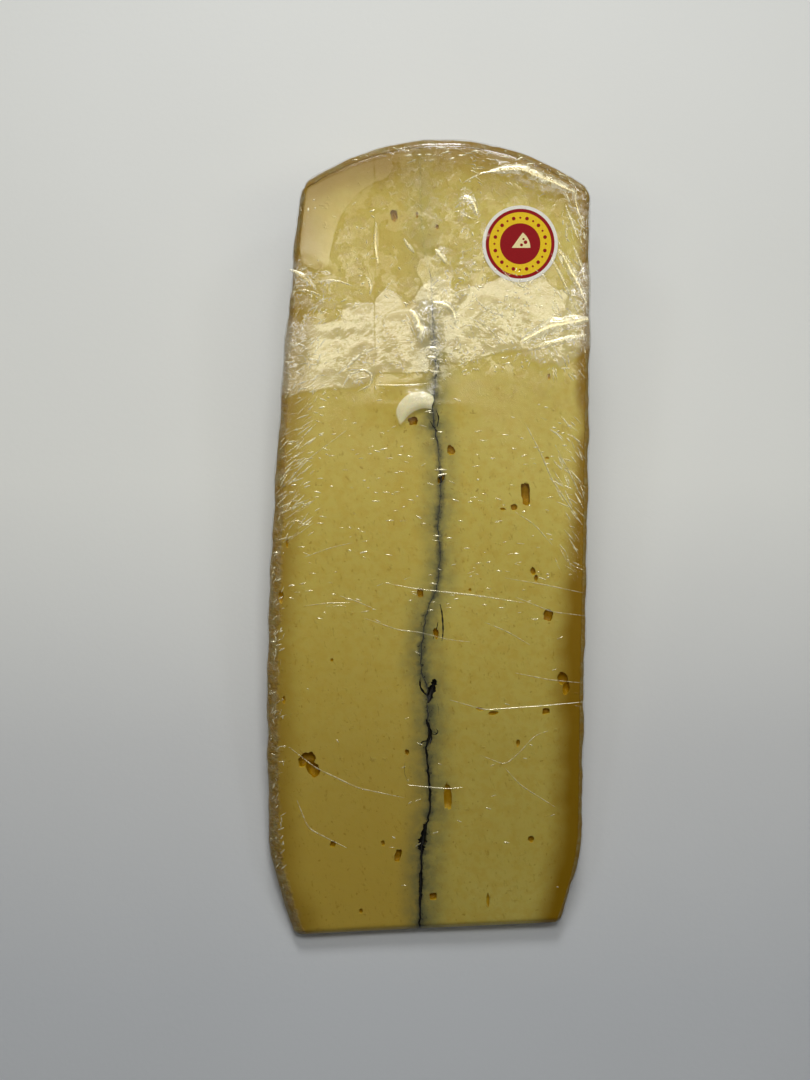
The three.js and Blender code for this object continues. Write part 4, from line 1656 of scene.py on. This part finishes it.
@dataclass
class FilmWrap:
    """Clear film all round the cheese, with its crushed patches, creases and folds.

    Attributes:
        grid: How finely its box is cut.
        offset: How far it stands off the cheese.
        floor: Height of its underside above the table.
        lip_middle: Where the lip of curd lifts it, across and along.
        lip_reach: How far it is lifted there, across and along.
        lip_rise: How high it is lifted there.
        fold_steps: Steps across a fold.
        crease_stretch: Length and width of a drawn crease.
        slack_and_painted_sheen_fades: Distances past its edge over which the slack sheet and its painted
            sheen die away.
        end_across: Place across of the film's own end.
        end_from: How far along that end starts.
        bubbly_from: Distances along over which the bubbles set in.
    """

    grid: Grid = field(default_factory=lambda: Grid(118, 300, 14, 5))
    offset: float = 0.28
    floor: float = 0.03
    lip_middle: Pair = (-3.2, 120.4)
    lip_reach: Pair = (7.5, 3.2)
    lip_rise: float = 1.1
    fold_steps: int = 4
    crease_stretch: Pair = (9.0, 1.5)
    slack_and_painted_sheen_fades: Pair = (7.5, 19.0)
    end_across: float = -12.1
    end_from: float = 122.5
    bubbly_from: Pair = (120.0, 127.0)

    def build(self) -> Piece:
        """Models the film with its folds and hands it over."""
        mesh = layer_mesh(Layer(offset=self.offset, floor=self.floor), self.grid)
        self._crease(mesh)
        piece = to_object("film", mesh, [FILM])
        points = object_points(piece)
        lift = self._lift(points)
        paint(piece, "lift", lift)
        paint(piece, "bubbly", self._bubbly(points))
        paint(piece, "crinkle", self._crinkle(points, lift))
        paint(piece, "overlap", self._overlap(points))
        # The slack sheet over the wide end, which also carries the film's painted white sheen.
        paint(piece, "slack_and_painted_sheen", self._slack_and_painted_sheen(points))
        for name, zone in zip(DRAWN_DEGREES, self._drawn_zones(points)):
            paint(piece, name, zone)
        self._weightless(piece)
        return settle(piece, "film", "film_wrap")

    def build_pleats(self) -> Piece:
        """Models the thin folds and flecks that stand on the sheet and hands them over."""
        folds = bmesh.new()
        whites = []
        for pleat in PLEATS:
            path = [VIEW.on_cut_face(*pixel) for pixel in pleat.seen]
            whites += [pleat.white] * self._fold(folds, path, pleat.width, pleat.rise)
        draw = random.Random(7)
        for flurry in FLURRIES:
            for path in flurry.paths(draw):
                width = draw.uniform(*flurry.widths)
                white = draw.uniform(*flurry.whites)
                rise = draw.uniform(*flurry.rises)
                whites += [white] * self._fold(folds, path, width, rise, steps=4)
        piece = to_object("film_folds", folds, [FILM_PLEAT])
        paint(piece, "white", np.array(whites))
        self._weightless(piece)
        return settle(piece, "film")

    def _crease(self, mesh: BMesh) -> None:
        """Moves the sheet in and out: slack waves, crushed patches and drawn creases."""
        points = coordinates(mesh)
        mesh.normal_update()
        normals = np.array([vertex.normal for vertex in mesh.verts])
        flat = points * (1.0, 1.0, 0.3)
        height = self._slack(points)
        on_top = smoothstep(normals[:, 2], 0.3, 0.8)
        for number, crumple in enumerate(CRUMPLES):
            weight = crumple.weight(points) * on_top
            chosen = weight > 0
            crushed = np.zeros(len(points))
            crushed[chosen] = facets_at(flat[chosen], crumple.size, number + 1.0)
            height += crumple.rise * weight * crushed
        height += self._drawn(points) * on_top
        under = smoothstep(-normals[:, 2], 0.5, 0.9)
        height = np.where(under > 0, np.minimum(height, 0.0), np.maximum(height, -0.18))
        points += normals * height[:, None]
        points[:, 2] += self._folds_under(points) * under
        points[:, 2] += self._over_lip(points) * on_top
        points[:, 2] = np.maximum(points[:, 2], self.floor * 0.5)
        move_vertices(mesh, points)

    def _drawn(self, points: Array) -> Array:
        """Creases that the film's pull draws in from the long edges, rising to the right."""
        creases = np.zeros(len(points))
        zones = zip(self._drawn_zones(points), DRAWN_DEGREES.values(), (5.0, 6.0))
        for weight, degrees, seed in zones:
            turn = math.radians(degrees)
            lengthwise = points[:, 0] * math.cos(turn) + points[:, 1] * math.sin(turn)
            crosswise = points[:, 1] * math.cos(turn) - points[:, 0] * math.sin(turn)
            long, thin = self.crease_stretch
            layer = np.full_like(crosswise, seed)
            stretched = np.stack([lengthwise / long, crosswise / thin, layer], axis=1)
            ridge = 1.0 - 2.0 * np.abs(noise_at(stretched, 1.0))
            creases += 0.11 * weight * np.maximum(ridge - 0.35, 0.0) / 0.65
        return creases

    def _drawn_zones(self, points: Array) -> tuple[Array, Array]:
        """Where the left and the right edge's drawn creases lie."""
        left, right = FORM.walls(points[:, 1])
        near_left = 1.0 - smoothstep(points[:, 0] - left, 1.0, 9.0)
        near_right = 1.0 - smoothstep(right - points[:, 0], 1.0, 8.0)
        along = points[:, 1]
        return near_left * self._span(along, 96.0, 135.0), near_right * self._span(along, 84.0, 130.0)

    def _span(self, along: Array, low: float, high: float) -> Array:
        """1 between two distances along, easing out at both."""
        return smoothstep(along, low - 8.0, low) * (1.0 - smoothstep(along, high, high + 8.0))

    def _folds_under(self, points: Array) -> Array:
        """The gathered folds beneath, where the film's ends are laid over each other."""
        fan = np.abs(noise_at(points * (0.9, 0.12, 0.0), 3.0, 8.0))
        return 0.34 * np.clip(fan * 2.0, 0.0, 1.0)

    def _over_lip(self, points: Array) -> Array:
        """How far the film is held off the cut face by the lip of curd."""
        side, ahead = ((points[:, :2] - self.lip_middle) / self.lip_reach).T
        return self.lip_rise * np.exp(-(side**2) - ahead**2)

    def _lift(self, points: Array) -> Array:
        """Millimetres inside the outline of the nearest lifted sheet, negative outside it."""
        return np.max([outline.inside(points) for outline in LIFTED], axis=0)

    def _weightless(self, piece: Piece) -> None:
        """Lets light from the lamps and the curd pass as if the thin film weren't there."""
        piece.visible_shadow = False
        piece.visible_diffuse = False
        piece.visible_glossy = False

    def _slack_and_painted_sheen(self, points: Array) -> Array:
        """Millimetres past the edge of the slack sheet over the wide end, negative before it; there the film
        also carries a painted white sheen.
        """
        places = np.array([VIEW.on_cut_face(*pixel) for pixel in SLACK_AND_PAINTED_SHEEN_EDGE])
        edge = np.interp(points[:, 0], places[:, 0], places[:, 1]) + 0.35 * noise_at(points, 3.0, 14.0)
        past = points[:, 1] - edge
        ragged = past + 5.0 * noise_at(points, 6.0, 15.0)
        return past * (1.0 - smoothstep(ragged, *self.slack_and_painted_sheen_fades)) - 0.1

    def _overlap(self, points: Array) -> Array:
        """Millimetres past the edge of the film's own end, which lies along the wide end's face."""
        edge = self.end_across + 0.15 * np.sin(points[:, 1] * 0.35)
        return np.where(points[:, 1] > self.end_from, points[:, 0] - edge, -1.0)

    def _bubbly(self, points: Array) -> Array:
        """Where small bubbles lie under the film: over most of the wide end."""
        ragged = 5.0 * noise_at(points, 12.0, 9.0)
        return smoothstep(points[:, 1] + ragged, *self.bubbly_from)

    def _crinkle(self, points: Array, lift: Array) -> Array:
        """How strongly the fine crinkles show: not at all on the lifted sheets."""
        weights = [crumple.weight(points) * min(1.0, crumple.rise / 0.36) for crumple in CRUMPLES]
        left, _ = FORM.walls(points[:, 1])
        from_edge = np.minimum(points[:, 0] - left, FORM.heel(points[:, 0], points[:, 2]) - points[:, 1])
        edge = 0.26 * (1.0 - smoothstep(from_edge, 1.0, 4.0))
        patchy = 0.25 * smoothstep(points[:, 1], 116.0, 130.0) * (noise_at(points, 7.0, 13.0) > 0.0)
        return np.clip(np.max(weights, axis=0) + np.maximum(edge, patchy), 0.0, 1.0) * (lift <= -0.3)

    def _fold(
        self,
        folds: BMesh,
        path: Sequence[Pair],
        width: float,
        rise: float,
        steps: int = 0,
    ) -> int:
        """Bends a strip into one thin fold along a path on the sheet, tapering at both ends.

        Args:
            folds: The mesh that takes the strip.
            path: The places it passes, across and along.
            width: Its greatest width in millimetres.
            rise: Its greatest height in millimetres.
            steps: Number of steps along it, or 0 to go by its length.

        Returns:
            How many vertices it has.
        """
        places, headings = smooth_path(path, steps)
        total = len(places) - 1
        step = np.tile(np.arange(total + 1), self.fold_steps + 1)
        side = np.repeat(np.linspace(-1.0, 1.0, self.fold_steps + 1), total + 1)
        taper = np.sin(math.pi * (0.04 + 0.92 * step / total)) ** 0.6
        if width > 1.0:
            spots = np.stack([places[step, 0], places[step, 1], side], axis=1)
            taper = taper * (1.0 + 0.35 * noise_at(spots, 1.6))
        half = width / 2 * taper * side
        across = places[step, 0] - headings[step, 1] * half
        along = places[step, 1] + headings[step, 0] * half
        top = FORM.face_height(across, along) + self.offset + self._stand(across, along)
        up = top + rise * taper * (1.0 - side * side)
        strip = [folds.verts.new(place) for place in zip(across, along, up)]
        for row in range(self.fold_steps):
            for column in range(total):
                corner = row * (total + 1) + column
                above = corner + total + 1
                folds.faces.new([strip[corner], strip[corner + 1], strip[above + 1], strip[above]])
        return len(strip)

    def _slack(self, points: Array) -> Array:
        """Slow in-and-out waves of the sheet."""
        flat = points * (1.0, 1.0, 0.3)
        return 0.05 * noise_at(flat, 22.0, 1.0) + 0.010 * noise_at(flat, 6.0, 2.0)

    def _stand(self, across: Array, along: Array) -> Array:
        """Height of the creased sheet above the plain film at a fold."""
        return self._slack(np.stack([across, along, FORM.height(along)], axis=1)) + 0.02


def smooth_path(path: Sequence[Pair], steps: int, spacing: float = 0.8) -> tuple[Array, Array]:
    """Even points along a smooth line through a path's points.

    Args:
        path: The points, across and along.
        steps: Number of steps, or 0 to go by the spacing.
        spacing: Length of a step in millimetres.

    Returns:
        The places and, for each, the unit heading.
    """
    points = np.array(path, float)
    gaps = np.linalg.norm(np.diff(points, axis=0), axis=1)
    reached = np.concatenate([[0.0], np.cumsum(gaps)])
    count = steps or max(4, int(reached[-1] / spacing))
    wanted = np.linspace(0.0, reached[-1], count + 1)
    line = np.stack([np.interp(wanted, reached, points[:, axis]) for axis in range(2)], axis=1)
    for _ in range(3 if len(points) > 2 else 0):
        line[1:-1] = (line[:-2] + 2 * line[1:-1] + line[2:]) / 4
    headings = np.gradient(line, axis=0)
    return line, headings / np.linalg.norm(headings, axis=1)[:, None]


def apply_modifiers(piece: Piece) -> None:
    """Bakes a piece's modifiers into its mesh."""
    depsgraph = bpy.context.evaluated_depsgraph_get()
    made = bpy.data.meshes.new_from_object(piece.evaluated_get(depsgraph), depsgraph=depsgraph)
    piece.modifiers.clear()
    old = piece.data
    piece.data = made
    bpy.data.meshes.remove(old)


# ---------------------------------------------------------------- label


@dataclass
class RoundLabel:
    """A round printed label: white rim, dark red ring, dotted yellow ring, dark red middle.

    Attributes:
        radius: Outer radius in millimetres.
        thickness: The paper's thickness.
        segments: Sides of its circles.
        ring_radii: Outer radii of the dark red ring, the yellow ring and the middle.
        stand_off: How far it stands off the cut face, on top of the film.
        dots: Number of dots on the yellow ring.
        print_rise: How far each layer of print stands on the one below.
        mark_corner: The pale sector's corner.
        mark_reach: The pale sector's radius.
        mark_degrees: The pale sector's angle.
    """

    radius: float = 8.5
    thickness: float = 0.14
    segments: int = 96
    ring_radii: Triple = (7.75, 7.0, 4.55)
    stand_off: float = 0.36
    dots: int = 24
    print_rise: float = 0.012
    mark_corner: Pair = (-1.9, -0.9)
    mark_reach: float = 4.2
    mark_degrees: float = 54.0

    def build(self) -> Piece:
        """Models the label and hands it over."""
        disc = bmesh.new()
        bmesh.ops.create_circle(disc, cap_ends=True, segments=self.segments, radius=self.radius)
        self._rings(disc)
        self._dot_ring(disc)
        self._wedge_mark(disc)
        slope = Matrix.Rotation(math.radians(FORM.slope_degrees), 4, "X")
        bmesh.ops.transform(disc, matrix=slope, verts=disc.verts)
        up = float(FORM.face_height(FORM.label_across, FORM.label_along)) + self.stand_off
        bmesh.ops.translate(disc, vec=(FORM.label_across, FORM.label_along, up), verts=disc.verts)
        piece = to_object("label_print", disc, [PAPER_WHITE, INK_RED, INK_YELLOW, INK_PALE])
        return settle(piece, "label", "label")

    def _rings(self, disc: BMesh) -> None:
        """Insets the rings, gives each its ink and the paper its thickness."""
        face = disc.faces[:][0]
        inner = self.radius
        for ink, radius in zip((1, 2, 1), self.ring_radii):
            bmesh.ops.inset_region(
                disc, faces=[face], thickness=inner - radius, use_boundary=True, use_even_offset=True,
            )
            face.material_index = ink
            inner = radius
        outline = [edge for edge in disc.edges if edge.is_boundary]
        wall = bmesh.ops.extrude_edge_only(disc, edges=outline)["geom"]
        rim = [part for part in wall if isinstance(part, bmesh.types.BMVert)]
        bmesh.ops.translate(disc, vec=(0.0, 0.0, -self.thickness), verts=rim)
        lower = [edge for edge in disc.edges if edge.is_boundary]
        bmesh.ops.contextual_create(disc, geom=lower)
        bmesh.ops.recalc_face_normals(disc, faces=disc.faces)

    def _dot_ring(self, disc: BMesh) -> None:
        """A ring of small red dots on the yellow ring."""
        middle = (self.ring_radii[1] + self.ring_radii[2]) / 2
        for number in range(self.dots):
            angle = 2 * math.pi * number / self.dots
            place = (middle * math.cos(angle), middle * math.sin(angle), self.print_rise)
            self._red_dot(disc, place, 0.42 if number % 2 else 0.24, 16)

    def _red_dot(self, disc: BMesh, place: Triple, radius: float, segments: int) -> None:
        """A small red disc."""
        matrix = Matrix.Translation(place)
        dot = bmesh.ops.create_circle(
            disc, cap_ends=True, segments=segments, radius=radius, matrix=matrix,
        )
        for face in {face for vertex in dot["verts"] for face in vertex.link_faces}:
            face.material_index = 1

    def _wedge_mark(self, disc: BMesh) -> None:
        """A plain pale sector with three red holes, in the middle."""
        across, along = self.mark_corner
        corner = disc.verts.new((across, along, self.print_rise))
        start = disc.verts.new((across + self.mark_reach, along, self.print_rise))
        side = disc.edges.new((corner, start))
        bmesh.ops.spin(
            disc,
            geom=[side],
            cent=corner.co,
            axis=(0.0, 0.0, 1.0),
            angle=math.radians(self.mark_degrees),
            steps=12,
            use_merge=False,
        )
        bmesh.ops.remove_doubles(disc, verts=disc.verts, dist=1e-5)
        for face in disc.faces:
            centre = face.calc_center_median()
            from_corner = math.hypot(centre.x - across, centre.y - along)
            raised = abs(centre.z - self.print_rise) < 0.001
            if raised and from_corner < self.mark_reach and face.material_index == 0:
                face.material_index = 3
        for place, radius in (((0.3, -0.25), 0.34), ((1.2, 0.35), 0.42), ((0.75, 1.05), 0.26)):
            self._red_dot(disc, (*place, 2 * self.print_rise), radius, 14)


# ---------------------------------------------------------------- studio


@dataclass
class Studio:
    """A plain pale floor, soft light and the camera at the photograph's place."""

    floor_size: float = 6.0

    def build(self) -> None:
        """Makes the floor, the lights and the camera."""
        self._floor()
        self._world()
        self._camera()
        straw, amber = (1.0, 0.94, 0.70), (1.0, 0.82, 0.50)
        self._softbox("overhead_near", (0.0, -0.20, 1.2), (0.0, -0.20, 0.0), (1.6, 0.12), 3.4, straw)
        self._softbox("overhead_far", (0.0, -0.085, 1.2), (0.0, -0.085, 0.0), (1.6, 0.11), 1.1, amber)
        self._softbox("ceiling", (0.03, 0.85, 1.2), (0.03, 0.85, 0.0), (2.0, 1.4), 1.0)
        self._softbox("lamp", (0.06, 0.40, 1.1), (0.0, 0.05, 0.0), (0.36, 0.24), 2.9)
        self._softbox("tube", (0.12, 0.12, 1.2), (0.12, 0.12, 0.0), (0.34, 0.06), 0.7)
        self._softbox("lamp_left", (-0.45, 0.35, 0.8), (0.0, 0.05, 0.0), (0.16, 0.10), 0.3)
        self._softbox("lamp_right", (0.50, 0.30, 0.8), (0.0, 0.05, 0.0), (0.16, 0.10), 0.3)
        self._window((0.0, 0.60, 0.55), (-0.01, 0.10, 0.0), 9.0)
        self._shade_card((0.0, -0.38, 0.42), (1.0, 0.6))

    def _floor(self) -> None:
        """The floor."""
        mesh = bmesh.new()
        bmesh.ops.create_grid(mesh, x_segments=8, y_segments=8, size=self.floor_size / 2)
        floor = to_object("floor", mesh, [TABLE])

    def _shade_card(self, middle: Triple, size: Pair) -> None:
        """A dark card behind the camera that keeps light off the near end."""
        mesh = bmesh.new()
        bmesh.ops.create_grid(mesh, x_segments=1, y_segments=1, size=0.5)
        bmesh.ops.scale(mesh, vec=(*size, 1.0), verts=mesh.verts)
        bmesh.ops.translate(mesh, vec=middle, verts=mesh.verts)
        to_object("shade_card", mesh, [CARD])

    def _world(self) -> None:
        """A dim, even surrounding light."""
        world = bpy.data.worlds.new("studio")
        world.use_nodes = True
        background = world.node_tree.nodes["Background"]
        background.inputs["Color"].default_value = (0.92, 0.96, 1.0, 1.0)
        background.inputs["Strength"].default_value = 0.04
        bpy.context.scene.world = world

    def _softbox(
        self,
        name: str,
        place: Triple,
        aim: Triple,
        size: Pair,
        watts: float,
        colour: Colour = EVEN,
    ) -> None:
        """A rectangular light that faces `aim`."""
        data = bpy.data.lights.new(name, "AREA")
        data.shape = "RECTANGLE"
        data.size, data.size_y = size
        data.energy = watts
        data.color = colour
        self._hang(data, place, aim)

    def _window(self, place: Triple, aim: Triple, watts: float) -> None:
        """A round light whose beam dies away towards the near end of the table."""
        data = bpy.data.lights.new("window", "SPOT")
        data.energy = watts
        data.shadow_soft_size = 0.12
        data.spot_size = math.radians(48.0)
        data.spot_blend = 1.0
        self._hang(data, place, aim)

    def _hang(self, data: bpy.types.Light, place: Triple, aim: Triple) -> None:
        """Puts a light at its place, facing `aim`."""
        lamp = bpy.data.objects.new(data.name, data)
        lamp.location = place
        lamp.rotation_euler = (Vector(aim) - Vector(place)).to_track_quat("-Z", "Y").to_euler()
        bpy.context.scene.collection.objects.link(lamp)

    def _camera(self) -> None:
        """The camera at the photograph's place."""
        low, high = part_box("label")
        centre = (low + high) / 2
        data = bpy.data.cameras.new("photo_camera")
        data.lens = VIEW.lens
        data.sensor_width = SENSOR_MM
        data.clip_start, data.clip_end = 0.01, 20.0
        camera = bpy.data.objects.new("photo_camera", data)
        across, along, up = VIEW.place
        camera.location = (
            centre.x + (across - FORM.label_across) * MM,
            centre.y + (along - FORM.label_along) * MM,
            up * MM,
        )
        camera.rotation_euler = (math.radians(VIEW.tilt_degrees), 0.0, 0.0)
        bpy.context.scene.collection.objects.link(camera)
        bpy.context.scene.camera = camera


CURD = CurdFinish().build()
EYE_WALL = EyeFinish().build()
SOOT_WALL = SootFinish().build()
SOOT = AshFinish().build()
FILM = FilmFinish().build()
FILM_PLEAT = PleatFinish().build()
PAPER_WHITE = InkFinish("paper_white", (0.86, 0.85, 0.80)).build()
INK_RED = InkFinish("ink_red", (0.30, 0.004, 0.010)).build()
INK_YELLOW = InkFinish("ink_yellow", (0.86, 0.60, 0.02)).build()
INK_PALE = InkFinish("ink_pale", (0.88, 0.78, 0.42)).build()
TABLE = TableFinish().build()
CARD = InkFinish("card", (0.05, 0.05, 0.05)).build()


def main() -> None:
    """Builds the wedge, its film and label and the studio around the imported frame."""
    line = "%(relativeCreated)d ms %(name)s %(message)s"
    logging.basicConfig(level=logging.INFO, format=line, stream=sys.stdout)
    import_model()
    bpy.context.scene.view_settings.view_transform = "Standard"
    Studio().build()
    CurdHalf(Side.LEFT).build()
    CurdHalf(Side.RIGHT).build()
    AshLine().build()
    film = FilmWrap()
    film.build()
    film.build_pleats()
    RoundLabel().build()


if __name__ == "__main__":
    main()
